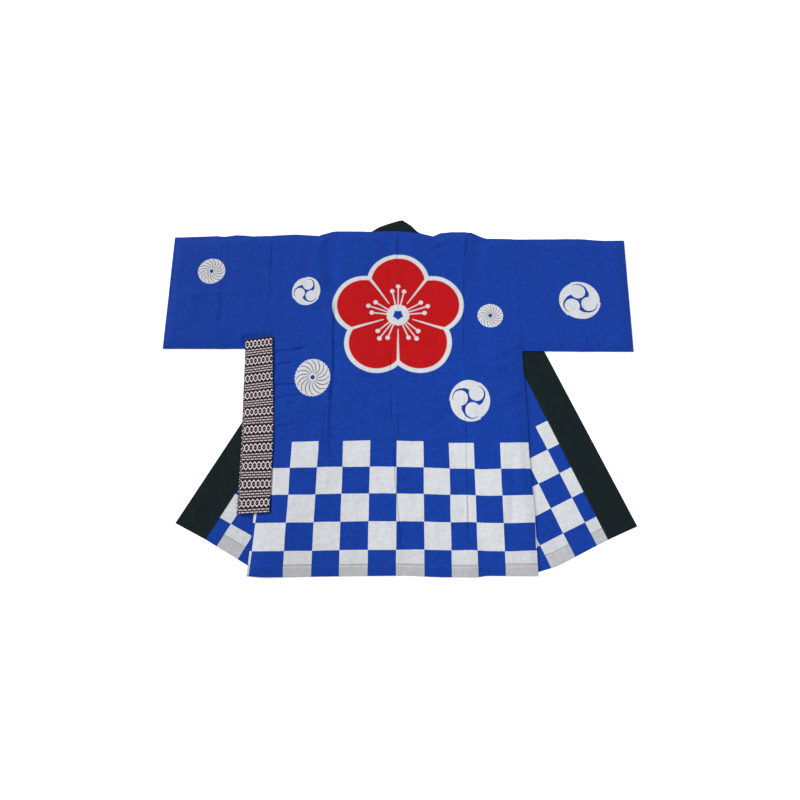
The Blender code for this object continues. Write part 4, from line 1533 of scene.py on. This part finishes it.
    def walls(self, solid: Solid, laid: Laid) -> tuple[Array, Array]:
        """Raises the cloth's two faces, over the shoulders and on to their seams.

        Args:
            solid: The back's solid.
            laid: The grid of its upper wall.

        Returns:
            The outer and the inner points, row by row from the hem.
        """
        xs, ys = laid.xs, laid.ys
        lift = Lie.every(xs, ys)
        upper = solid.heights(xs, ys, True) + lift + Lie.top(xs, ys, laid.off_edge)
        step = hem_lift(laid.distance)[:, None]
        outer = list(np.stack([xs, ys, upper + step], -1))
        inner = list(np.stack([xs, ys, upper - WALL], -1))
        below_top = [(x, y - self.top_inset) for x, y in zip(xs[-1], ys[-1])]
        low = np.array([solid.height(*spot, False) for spot in below_top]) + lift[-1]
        turned = half_turn(xs[-1], ys[-1], (0.0, 1.0), low, upper[-1], self.turn_steps)
        outer += turned[0]
        inner += turned[1]
        ends = np.where(laid.places < 0.0, *self.return_y)
        for part in (0.0, 0.5, 1.0):
            y = ys[-1] + (ends - ys[-1]) * part
            outer.append(np.stack([xs[-1], y, low], -1))
            inner.append(np.stack([xs[-1], y, low + WALL], -1))
        return np.array(outer), np.array(inner)

    def build(self, effects: Effects) -> Piece:
        """Makes and dresses the back.

        Args:
            effects: The shared groups.

        Returns:
            The piece.
        """
        solid = Solid("back")
        laid = self.lay(solid)
        outer, inner = self.walls(solid, laid)
        flat_rows, in_neck = len(laid.distance), self.in_neck(laid.places)
        present = np.ones((len(outer) - 1, len(in_neck) - 1), bool)
        present[flat_rows - 1:, in_neck[:-1] & in_neck[1:]] = False
        # Grey of the hem band, with painted shade along its stitching
        greyer_hem_and_shade = np.zeros(outer.shape[:2])
        greyer_hem_and_shade[:flat_rows] = grey_of_hem_and_stitch_shade(laid.distance)[:, None]
        band = self.print_place(outer[..., 0], outer[..., 1])
        open_side = outer[:, 0, 1] < self.sleeve_foot
        shell = Shell(outer, inner, present, band=band, greyer_hem_and_shade=greyer_hem_and_shade,
                      rounded=(True, True, open_side, open_side))
        piece = shell.build("back_cloth")
        dress(piece, self.print_.build(effects), "back")
        return piece


@dataclass
class Front:
    """A front: its upper layer under the back, the fold, and the opened flap on the floor."""

    side: int
    fold: tuple[Place, ...]
    seam_end: Place
    lean: float
    flap_top: float
    print_: PrintedCotton
    corner: Place
    up: float
    across: float
    pitches: Triple
    hem_y: float = -0.452
    hem_slant: float = 1.1
    upper_spacing: tuple[float, float] = (0.22, 0.009)
    flap_spacing: tuple[float, float] = (0.16, 0.006)
    knee_share: float = 0.35
    knee_drop: float = 0.0085
    knee_reach: float = 0.09
    turn_steps: int = 6

    @property
    def name(self) -> str:
        """Names the front."""
        return "front_left" if self.side < 0 else "front_right"

    def fold_x(self, y: Array) -> Array:
        """Finds the fold's x at some heights on the laid coat."""
        table = sorted((point[1], point[0]) for point in self.fold)
        return np.interp(y, [row[0] for row in table], [row[1] for row in table])

    def print_place(self, xs: Array, ys: Array) -> Array:
        """Places the checks, which lie square to the seam of the collar or nearly so.

        Args:
            xs: The cloth's x.
            ys: The cloth's y.

        Returns:
            The place in the print, across and up.
        """
        up = (-self.side * math.sin(self.up), math.cos(self.up))
        across = (-self.side * math.cos(self.across), -math.sin(self.across))
        x, y = xs - self.corner[0], ys - self.corner[1]
        whole = across[0] * up[1] - across[1] * up[0]
        u, v = (x * up[1] - y * up[0]) / whole, (across[0] * y - across[1] * x) / whole
        first, later, row = self.pitches
        u = np.where(u < first, u / first, 1.0 + (u - first) / later)
        return np.stack([u * CHECK, v / row * CHECK], -1)

    def flap_row(self, y: float, shares: Array) -> tuple[Array, Array]:
        """Places a row of the flap, from its fold to its collar seam.

        Args:
            y: The row's height at the fold.
            shares: Shares of the way to the seam.

        Returns:
            The row's x and y.
        """
        bottom = self.fold[-1][1]
        down = (self.flap_top - y) / (self.flap_top - bottom)
        end_x, end_y = self.seam_end
        seam_top_x = end_x - self.side * math.tan(self.lean) * (self.flap_top - end_y)
        seam_x = seam_top_x + (end_x - seam_top_x) * down
        seam_y = self.flap_top + (end_y - self.flap_top) * down
        fold_x = float(self.fold_x(np.array(y)))
        beyond_knee = (1.0 - shares) / (1.0 - self.knee_share)
        knee = np.where(shares < self.knee_share, shares / self.knee_share, beyond_knee)
        near_hem = max(0.0, 1.0 - (y - bottom) / self.knee_reach)
        row_y = y + (seam_y - y) * shares - self.knee_drop * knee * near_hem
        return fold_x + (seam_x - fold_x) * shares, row_y

    def under_back(self, rows: Array) -> tuple[Array, Array]:
        """Raises the layer under the back, and the fold at its free side.

        Args:
            rows: The rows' heights on the laid coat.

        Returns:
            The outer and the inner points, from the side seam to the floor beneath the fold.
        """
        solid, back = Solid(self.name), Solid("back")
        side_x = np.array([back.reach(1, max(y, self.hem_y))[0 if self.side < 0 else 1] for y in rows])
        across = spaced(*self.upper_spacing)
        xs = side_x[:, None] + (self.fold_x(rows) - side_x)[:, None] * across[None, :]
        ys = np.repeat(rows[:, None], len(across), 1)
        lift = Lie.every(xs, ys)
        upper = solid.heights(xs, ys, True) + lift
        low_end, high_end = self.fold[-1], self.fold[1]
        slope = math.atan2(abs(low_end[0] - high_end[0]), high_end[1] - low_end[1])
        heading = (-self.side * math.cos(slope), -math.sin(slope))
        turned = half_turn(xs[:, -1], rows, heading, lift[:, -1], upper[:, -1], self.turn_steps)
        faces = (np.stack([xs, ys, upper], -1), np.stack([xs, ys, upper - WALL], -1))
        outer, inner = (np.concatenate([face, np.stack(turn, 1)], 1) for face, turn in zip(faces, turned))
        return outer, inner

    def flap(self, rows: Array, step: Array) -> tuple[Array, Array]:
        """Lays the opened flap on the floor.

        Args:
            rows: The rows' heights at the fold.
            step: The hem's step in each row.

        Returns:
            The outer and the inner points, from the fold to the collar's seam.
        """
        shares = spaced(*self.flap_spacing)
        xs, ys = np.array([self.flap_row(y, shares) for y in rows]).transpose(1, 0, 2)
        lift = Lie.every(xs, ys)
        return np.stack([xs, ys, lift], -1), np.stack([xs, ys, lift + WALL + step[:, None]], -1)

    def build(self, effects: Effects) -> Piece:
        """Makes and dresses the front.

        Args:
            effects: The shared groups.

        Returns:
            The piece.
        """
        bottom, top = self.fold[-1][1], self.fold[0][1]
        distance = hem_rows(top - bottom, self.hem_slant)
        rows = bottom + distance
        nearest = int(np.argmin(np.abs(rows - self.flap_top)))
        rows[nearest] = self.flap_top
        distance = distance / self.hem_slant
        upper, flap = self.under_back(rows), self.flap(rows, hem_lift(distance))
        outer, inner = (np.concatenate(pair, 1) for pair in zip(upper, flap))
        columns = outer.shape[1]
        present = np.ones((len(rows) - 1, columns - 1), bool)
        present[nearest:, upper[0].shape[1] - self.turn_steps:] = False
        # Grey of the hem band, with painted shade along its stitching
        greyer_hem_and_shade = np.repeat(grey_of_hem_and_stitch_shade(distance)[:, None], columns, 1)
        band = self.print_place(outer[..., 0], outer[..., 1])
        shell = Shell(outer, inner, present, band=band, greyer_hem_and_shade=greyer_hem_and_shade, rounded=(True, True, True, False))
        piece = shell.build(self.name + "_cloth")
        dress(piece, self.print_.build(effects), self.name)
        return piece


@dataclass
class Sleeve:
    """A sleeve: a tube pressed flat, folded along its top."""

    side: int
    print_: PrintedCotton
    inset: float = 0.016
    depth: float = 0.32
    measured_y: tuple[float, float] = (0.12, 0.36)
    turn_steps: int = 7

    @property
    def name(self) -> str:
        """Names the sleeve."""
        return "sleeve_left" if self.side < 0 else "sleeve_right"

    def lay(self, solid: Solid) -> tuple[Array, Array, Array]:
        """Lays the grid, from the seam to the cuff and from the foot to the top.

        Args:
            solid: The sleeve's solid.

        Returns:
            Its points' x and y, and how far they are from the cuff, the foot and the top.
        """
        low, high = float(solid.points[:, 0].min()), float(solid.points[:, 0].max())
        near, far = (high, low) if self.side < 0 else (low, high)
        along = spaced(high - low, 0.6 * ACROSS)
        samples = np.clip(near + (far - near) * along, low + self.inset, high - self.inset)
        bottoms, tops = np.array([solid.reach(0, x) for x in samples]).T
        middles = list(zip(samples, 0.5 * (bottoms + tops)))
        rise = np.array([solid.height(*spot, True) - solid.height(*spot, False) for spot in middles])
        bottoms, tops = bottoms + 0.5 * rise, tops - 0.5 * rise
        shares = np.linspace(0.0, 1.0, round(self.depth / ACROSS) + 1)
        ys = bottoms[:, None] + (tops - bottoms)[:, None] * shares[None, :]
        first_y, second_y = self.measured_y
        ends = np.array([solid.reach(1, y) for y in self.measured_y])
        lows, highs = (start + (end - start) * (ys - first_y) / (second_y - first_y) for start, end in ends.T)
        cuff, seam = (lows, highs) if self.side < 0 else (highs, lows)
        xs = seam + (cuff - seam) * along[:, None]
        off_edge = np.minimum(np.minimum(np.abs(cuff - xs), ys - ys[:, :1]), ys[:, -1:] - ys)
        return xs, ys, off_edge

    def build(self, effects: Effects) -> Piece:
        """Makes and dresses the sleeve.

        Args:
            effects: The shared groups.

        Returns:
            The piece.
        """
        solid = Solid(self.name)
        xs, ys, off_edge = self.lay(solid)
        lift = Lie.every(xs, ys)
        upper = solid.heights(xs, ys, True) + lift + Lie.top(xs, ys, off_edge)
        lower = solid.heights(xs, ys, False) + lift
        grids = [np.stack([xs, ys, face], -1).transpose(1, 0, 2)
                 for face in (lower, lower + WALL, upper, upper - WALL)]
        outer, inner = list(grids[0]), list(grids[1])
        over = half_turn(xs[:, -1], ys[:, -1], (0.0, 1.0), lower[:, -1], upper[:, -1], self.turn_steps)
        under = half_turn(xs[:, 0], ys[:, 0], (0.0, -1.0), lower[:, 0], upper[:, 0], self.turn_steps)
        for number, rows in enumerate((outer, inner)):
            rows += [*over[number][::-1], *grids[2 + number][::-1], *under[number]]
        shell = Shell(np.stack(outer, 1), np.stack(inner, 1), around=True, rounded=(False, True, True, True))
        piece = shell.build(self.name + "_cloth")
        dress(piece, self.print_.build(effects), self.name)
        return piece


@dataclass
class Collar:
    """The collar: a black band of two layers, up one front, round the back of the neck and down the other."""

    left_end: Place = (-0.4433, -0.3806)
    right_end: Place = (0.4781, -0.3812)
    left_lean: float = math.radians(29.6)
    right_lean: float = math.radians(22.7)
    left_corner: Place = (-0.5172, -0.344)
    right_width: float = 0.0774
    inner_top: float = 0.345
    width: float = 0.08
    step: float = 0.007
    edge_radius: float = 0.0008
    sewn_in: float = 0.003
    sewn_half_width: float = 0.0011
    sewn_depth: float = 0.0004
    peak: tuple[Place, ...] = (
        (-0.09, 0.415), (-0.0557, 0.439), (-0.029, 0.45), (-0.0038, 0.4585), (0.0086, 0.4612),
        (0.0324, 0.444), (0.0494, 0.425), (0.088, 0.403), (0.12, 0.411), (0.18, 0.411), (0.239, 0.385),
    )
    finish: BandCotton = BandCotton("black_cotton_collar", roughness=0.82, sheen=0.02)

    def seam_top(self, end: Place, slant: float) -> float:
        """Finds the x at which a seam that starts at the hem and leans by a slant comes to the neck."""
        return end[0] - slant * (self.inner_top - end[1])

    def edges(self) -> tuple[Array, Array]:
        """Runs both edges of the band from the left hem round the neck to the right hem.

        Returns:
            The outer and the inner edge, with a place in each row of the band.
        """
        left, right = self.left_end, self.right_end
        right_corner = (right[0] + math.cos(self.right_lean) * self.right_width,
                        right[1] + math.sin(self.right_lean) * self.right_width)
        left_top = self.seam_top(left, -math.tan(self.left_lean))
        right_top = self.seam_top(right, math.tan(self.right_lean))
        first, last = self.peak[0][0], self.peak[-1][0]
        shares = [(point[0] - first) / (last - first) for point in self.peak]
        neck = [(left_top + (right_top - left_top) * share, self.inner_top) for share in shares]
        paths = ([self.left_corner, *self.peak, right_corner], [left, *neck, right])
        rows: tuple[list[Place], list[Place]] = ([], [])
        final = len(paths[0]) - 2
        for index, ends in enumerate(zip(paths[0], paths[0][1:])):
            span = math.dist(*ends)
            even = np.linspace(0.0, 1.0, max(2, round(span / self.step)) + 1)
            places = spaced(span, self.step) if index in (0, final) else even
            for share in places if index == final else places[:-1]:
                for edge, path in zip(rows, paths):
                    (ax, ay), (bx, by) = path[index], path[index + 1]
                    edge.append((ax + (bx - ax) * share, ay + (by - ay) * share))
        return np.array(rows[0]), np.array(rows[1])

    def build(self, effects: Effects) -> Piece:
        """Makes and dresses the collar.

        Args:
            effects: The shared groups.

        Returns:
            The piece.
        """
        outside, inside = self.edges()
        across = spaced(self.width, 0.005, (0.0005, 0.0012, 0.0025))
        ground = outside[:, None, :] + (inside - outside)[:, None, :] * across[None, :, None]
        off_edge = np.minimum(across, 1.0 - across) * self.width
        off_round = 1.0 - np.clip(off_edge / self.edge_radius, 0.0, 1.0)
        half = 0.5 * COLLAR_WALL * np.sqrt(np.clip(1.0 - off_round ** 2, 0.02, 1.0))
        off_seam = (1.0 - across) * self.width - self.sewn_in
        sewn = np.exp(-((off_seam / self.sewn_half_width) ** 2)) * self.sewn_depth
        middle = 0.5 * COLLAR_WALL + Lie.every(ground[..., 0], ground[..., 1])
        top = np.concatenate([ground, (middle + half - sewn)[..., None]], -1)
        flat_side = np.where(across > 0.5, 0.5 * COLLAR_WALL, half)
        bottom = np.concatenate([ground, (middle - flat_side)[..., None]], -1)
        centre_line = 0.5 * (outside + inside)
        length = np.concatenate([[0.0], np.cumsum(np.hypot(*np.diff(centre_line, axis=0).T))])
        band = np.stack(np.broadcast_arrays(across[None, :] * self.width, length[:, None]), -1)
        shell = Shell(top, bottom, band=band, rounded=(True, True, False, False))
        piece = shell.build("collar_band")
        dress(piece, self.finish.build(effects), "collar")
        return piece


@dataclass
class Belt:
    """The belt: one long woven band, folded to and fro into a flat bundle."""

    shares: tuple[float, ...] = (0.0, 0.128, 0.301, 0.441, 0.538, 0.665, 0.828, 0.902, 1.0)
    left_edge: tuple[Place, ...] = (
        (-0.39, 0.1063), (-0.3855, 0.049), (-0.3814, -0.0273), (-0.3771, -0.0849), (-0.375, -0.1266),
        (-0.3736, -0.1818), (-0.3722, -0.2496), (-0.3718, -0.2833), (-0.3713, -0.3233))
    right_edge: tuple[Place, ...] = (
        (-0.3221, 0.1157), (-0.3174, 0.0582), (-0.3116, -0.0184), (-0.3061, -0.0788), (-0.3036, -0.122),
        (-0.3008, -0.1776), (-0.3001, -0.2478), (-0.2997, -0.2796), (-0.2994, -0.3193))
    layers: int = 5
    layer: float = 0.0011
    wall: float = 0.00085
    width: float = 0.0725
    fold_length: float = 0.435
    turn_length: float = 0.0018
    turn_steps: int = 6
    drift: tuple[Triple, ...] = (
        (0.0, 0.0, 0.0), (0.0, -0.003, -0.001), (-0.0006, -0.0052, -0.004), (0.0, -0.0036, -0.0026),
        (-0.0004, -0.0044, -0.0014))
    finish: BeltWeave = BeltWeave("woven_belt")

    def build(self, effects: Effects) -> Piece:
        """Makes and dresses the belt.

        Args:
            effects: The shared groups.

        Returns:
            The piece.
        """
        along = spaced(self.fold_length)
        across = spaced(self.width, near=(0.0005,))
        left, right = (np.stack([np.interp(along, self.shares, line) for line in zip(*edge)], -1)
                       for edge in (self.left_edge, self.right_edge))
        ground = left[:, None, :] + (right - left)[:, None, :] * across[None, :, None]
        base = Solid("belt").heights(ground[..., 0], ground[..., 1], False, 3)
        outer, inner, run = [], [], []
        length = 0.0
        for layer in range(self.layers):
            level = (self.layers - 1 - layer) * self.layer
            downward = layer % 2 == 0
            order = range(len(along)) if downward else range(len(along) - 1, -1, -1)
            drift = np.interp(along, (0.0, 0.5, 1.0), self.drift[layer])
            half = 0.5 * self.wall if downward else -0.5 * self.wall
            for index in order:
                spot = ground[index] + (drift[index], 0.0)
                height = base[index] + level + 0.5 * self.layer
                outer.append(np.concatenate([spot, (height + half)[:, None]], -1))
                inner.append(np.concatenate([spot, (height - half)[:, None]], -1))
                run.append(length + self.fold_length * (along[index] if downward else 1.0 - along[index]))
            length = run[-1]
            if layer < self.layers - 1:
                last = order[-1]
                outward = ground[last] - ground[last - 1 if downward else 1]
                outward = outward / np.linalg.norm(outward, axis=1)[:, None]
                middle = base[last] + level
                for step in range(1, self.turn_steps):
                    angle = math.pi * step / self.turn_steps
                    for rows, radius in ((outer, 0.5 * self.layer + half), (inner, 0.5 * self.layer - half)):
                        spot = ground[last] + (drift[last], 0.0) + outward * radius * math.sin(angle)
                        rows.append(np.concatenate([spot, (middle + radius * math.cos(angle))[:, None]], -1))
                    run.append(length + self.turn_length * step / self.turn_steps)
                length = run[-1]
        band = np.stack(np.broadcast_arrays(across[None, :] * self.width, np.array(run)[:, None]), -1)
        piece = Shell(np.array(outer), np.array(inner), band=band).build("belt_band")
        dress(piece, self.finish.build(effects), "belt")
        return piece


# ---------------------------------------------------------------- sewing


@dataclass
class Stitching:
    """A row of machine stitches that follows the cloth under it."""

    name: str
    carrier: str
    line: tuple[Place, ...]
    finish: Thread
    slot: str
    pitch: float = 0.0036
    length: float = 0.0027
    width: float = 0.00055
    height: float = 0.000385
    proud: float = 0.000055

    def stitch(self) -> tuple[Array, list[list[int]]]:
        """Models one stitch with its ends rounded down.

        Returns:
            Its points and its faces.
        """
        bpy.ops.object.select_all(action="DESELECT")
        bpy.ops.mesh.primitive_uv_sphere_add(segments=6, ring_count=4, radius=0.5, location=(0.0, 0.0, 0.0))
        made = bpy.context.object
        bpy.ops.object.mode_set(mode="EDIT")
        bpy.ops.mesh.select_all(action="SELECT")
        bpy.ops.transform.rotate(value=math.pi / 2, orient_axis="Y", center_override=(0.0, 0.0, 0.0))
        bpy.ops.transform.resize(value=(self.length, self.width, self.height))
        bpy.ops.object.mode_set(mode="OBJECT")
        points = np.array([vertex.co[:] for vertex in made.data.vertices])
        faces = [list(polygon.vertices) for polygon in made.data.polygons]
        bpy.data.objects.remove(made, do_unlink=True)
        return points, faces

    @staticmethod
    def settle(points: Array, spot: Array, normal: Vector, turn: float) -> Array:
        """Turns one stitch along the line and lays it on the cloth.

        Args:
            points: The stitch's points.
            spot: Where its middle goes.
            normal: The cloth's normal there.
            turn: The line's direction on the ground.

        Returns:
            The laid points.
        """
        slope = math.atan2(-(normal.x * math.cos(turn) + normal.y * math.sin(turn)), normal.z)
        tilted = points @ np.array([[math.cos(slope), 0.0, math.sin(slope)], [0.0, 1.0, 0.0],
                                    [-math.sin(slope), 0.0, math.cos(slope)]])
        turned = np.stack([tilted[:, 0] * math.cos(turn) - tilted[:, 1] * math.sin(turn),
                           tilted[:, 0] * math.sin(turn) + tilted[:, 1] * math.cos(turn), tilted[:, 2]], -1)
        return turned + spot

    def build(self, effects: Effects) -> Piece:
        """Lays the stitches along the line, on the piece that carries them.

        Args:
            effects: The shared groups.

        Returns:
            The row of stitches as one piece.
        """
        carrier = bpy.data.objects[self.carrier].data
        tree = BVHTree.FromPolygons([vertex.co[:] for vertex in carrier.vertices],
                                    [polygon.vertices[:] for polygon in carrier.polygons])
        points, faces = self.stitch()
        all_points, all_faces = [], []
        for (ax, ay), (bx, by) in zip(self.line, self.line[1:]):
            span = math.dist((ax, ay), (bx, by))
            count = max(1, round(span / self.pitch))
            turn = math.atan2(by - ay, bx - ax)
            for index in range(count):
                share = (index + 0.5) / count
                x, y = ax + (bx - ax) * share, ay + (by - ay) * share
                hit, normal, _, _ = tree.ray_cast(Vector((x, y, 1.0)), Vector((0.0, 0.0, -1.0)))
                if hit is None:
                    continue
                start = len(all_points) * len(points)
                spot = np.array([x, y, hit.z + self.proud])
                all_points.append(self.settle(points, spot, normal, turn))
                all_faces += [[start + corner for corner in face] for face in faces]
        mesh = bpy.data.meshes.new(self.name)
        mesh.from_pydata(np.concatenate(all_points).tolist(), [], all_faces)
        mesh.shade_smooth()
        made = bpy.data.objects.new(self.name, mesh)
        bpy.context.scene.collection.objects.link(made)
        dress(made, self.finish.build(effects), None)
        return made


# ---------------------------------------------------------------- studio


@dataclass(frozen=True)
class Lamp:
    """A soft round lamp that looks at the coat: its place, its width and its power in watts."""

    name: str
    place: Triple
    size: float
    power: float

    def build(self) -> None:
        """Adds the lamp."""
        data = bpy.data.lights.new(self.name, "AREA")
        data.shape = "DISK"
        data.size = self.size
        data.energy = self.power
        lamp = bpy.data.objects.new(self.name, data)
        bpy.context.scene.collection.objects.link(lamp)
        lamp.location = self.place
        lamp.rotation_euler = (-Vector(self.place)).to_track_quat("-Z", "Y").to_euler()


@dataclass(frozen=True)
class Studio:
    """Floor, light and camera."""

    floor_size: float = 16.0
    floor_drop: float = 0.0003
    air: float = 0.26
    lamps: tuple[Lamp, ...] = (Lamp("key_light", (-12.4, 6.8, 10.0), 11.0, 2990.0),
                               Lamp("overhead_light", (0.42, -0.18, 1.3), 1.0, 8.1))
    lens: float = 21.65
    sensor: float = 36.0
    nearest: float = 0.01
    place: Triple = (0.002, -0.357, 1.148)
    tilt: float = math.radians(15.0)

    def build(self) -> None:
        """Makes the floor, the lights and the camera."""
        self.lay_floor()
        scene = bpy.context.scene
        scene.view_settings.view_transform = "Standard"
        world = bpy.data.worlds.new("studio_air")
        world.use_nodes = True
        background = world.node_tree.nodes["Background"]
        background.inputs["Color"].default_value = (1.0, 1.0, 1.0, 1.0)
        background.inputs["Strength"].default_value = self.air
        scene.world = world
        for lamp in self.lamps:
            lamp.build()
        camera = bpy.data.objects.new("camera", bpy.data.cameras.new("camera"))
        scene.collection.objects.link(camera)
        camera.location = self.place
        camera.rotation_euler = (self.tilt, 0.0, 0.0)
        camera.data.lens = self.lens
        camera.data.sensor_width = self.sensor
        camera.data.clip_start = self.nearest
        scene.camera = camera

    def lay_floor(self) -> None:
        """Models the floor, a little below the coat."""
        bpy.ops.object.select_all(action="DESELECT")
        bpy.ops.mesh.primitive_plane_add(size=self.floor_size, location=(0.0, 0.0, 0.0))
        floor = bpy.context.object
        floor.name = "floor"
        bpy.ops.object.mode_set(mode="EDIT")
        bpy.ops.mesh.subdivide(number_cuts=3)
        bpy.ops.transform.translate(value=(0.0, 0.0, -self.floor_drop))
        bpy.ops.object.mode_set(mode="OBJECT")
        floor.data.materials.append(StudioFloor().build())


# ---------------------------------------------------------------- the whole


class HappiCoat:
    """The coat with its belt, laid flat: what it is made of, from the floor up."""

    @staticmethod
    def fronts() -> tuple[Front, Front]:
        """Describes both fronts.

        Returns:
            The left one and the right one, as they lie in the view.
        """
        left = Front(
            side=-1, fold=((-0.086, 0.3982), (-0.0892, 0.2427), (-0.2812, -0.458)), flap_top=0.208,
            seam_end=(-0.4433, -0.3806), lean=math.radians(29.6),
            print_=PrintedCotton("blue_cotton_front_left", checks=Checks(0.0)), corner=(-0.388, -0.3458),
            up=math.radians(29.3), across=math.radians(28.4), pitches=(0.0575, 0.06, 0.0622))
        right = Front(
            side=1, fold=((0.1146, 0.3882), (0.1451, 0.2427), (0.2914, -0.457)), flap_top=0.335,
            seam_end=(0.4781, -0.3812), lean=math.radians(22.7),
            print_=PrintedCotton("blue_cotton_front_right", checks=Checks(1.0)), corner=(0.429, -0.3423),
            up=math.radians(23.3), across=math.radians(25.5), pitches=(0.0572, 0.0615, 0.0614))
        return left, right

    @staticmethod
    def sleeves() -> tuple[Sleeve, Sleeve]:
        """Describes both sleeves.

        Returns:
            The left one and the right one, as they lie in the view.
        """
        flower = Roundel((-0.4964, 0.3021), 0.0362, math.radians(9.0), 1.03)
        comma = Roundel((0.4688, 0.2174), 0.054, math.radians(97.0))
        return (Sleeve(-1, PrintedCotton("blue_cotton_sleeve_left", flowers=(flower,))),
                Sleeve(1, PrintedCotton("blue_cotton_sleeve_right", commas=(comma,))))

    @staticmethod
    def stitching() -> list[Stitching]:
        """Describes the stitching of the hems and of the collar.

        Returns:
            Its rows.
        """
        blue = (Thread("blue_thread", colour=(0.01, 0.035, 0.16)), "blue_cotton")
        dark = (Thread("black_thread", colour=(0.012, 0.014, 0.016)), "black_cotton")
        hem = ((-0.338, -0.4351), (-0.25, -0.4368), (-0.01, -0.434), (0.08, -0.4375), (0.2, -0.4375),
               (0.311, -0.4345))
        left_hem, right_hem = ((-0.43, -0.36), (-0.356, -0.402)), ((0.466, -0.36), (0.325, -0.427))
        left_seam, right_seam = ((-0.445, -0.377), (-0.22, 0.019)), ((0.48, -0.378), (0.325, -0.007))
        return [Stitching("hem_stitches_back", "back_cloth", hem, *blue),
                Stitching("hem_stitches_left", "front_left_cloth", left_hem, *blue),
                Stitching("hem_stitches_right", "front_right_cloth", right_hem, *blue),
                Stitching("collar_stitches_left", "collar_band", left_seam, *dark),
                Stitching("collar_stitches_right", "collar_band", right_seam, *dark)]

    def parts(self) -> list[Front | Collar | Back | Sleeve | Belt | Stitching]:
        """Lists the parts in the order in which they are laid down."""
        return [*self.fronts(), Collar(), Back(), *self.sleeves(), Belt(), *self.stitching()]


def main() -> None:
    """Builds the studio and every part of the coat, and logs how many triangles each piece has."""
    logging.basicConfig(level=logging.INFO, format="%(message)s")
    Studio().build()
    effects = Effects()
    for part in HappiCoat().parts():
        piece = part.build(effects)
        triangles = sum(len(polygon.vertices) - 2 for polygon in piece.data.polygons)
        LOG.info("%s: %d triangles", piece.name, triangles)


if __name__ == "__main__":
    main()
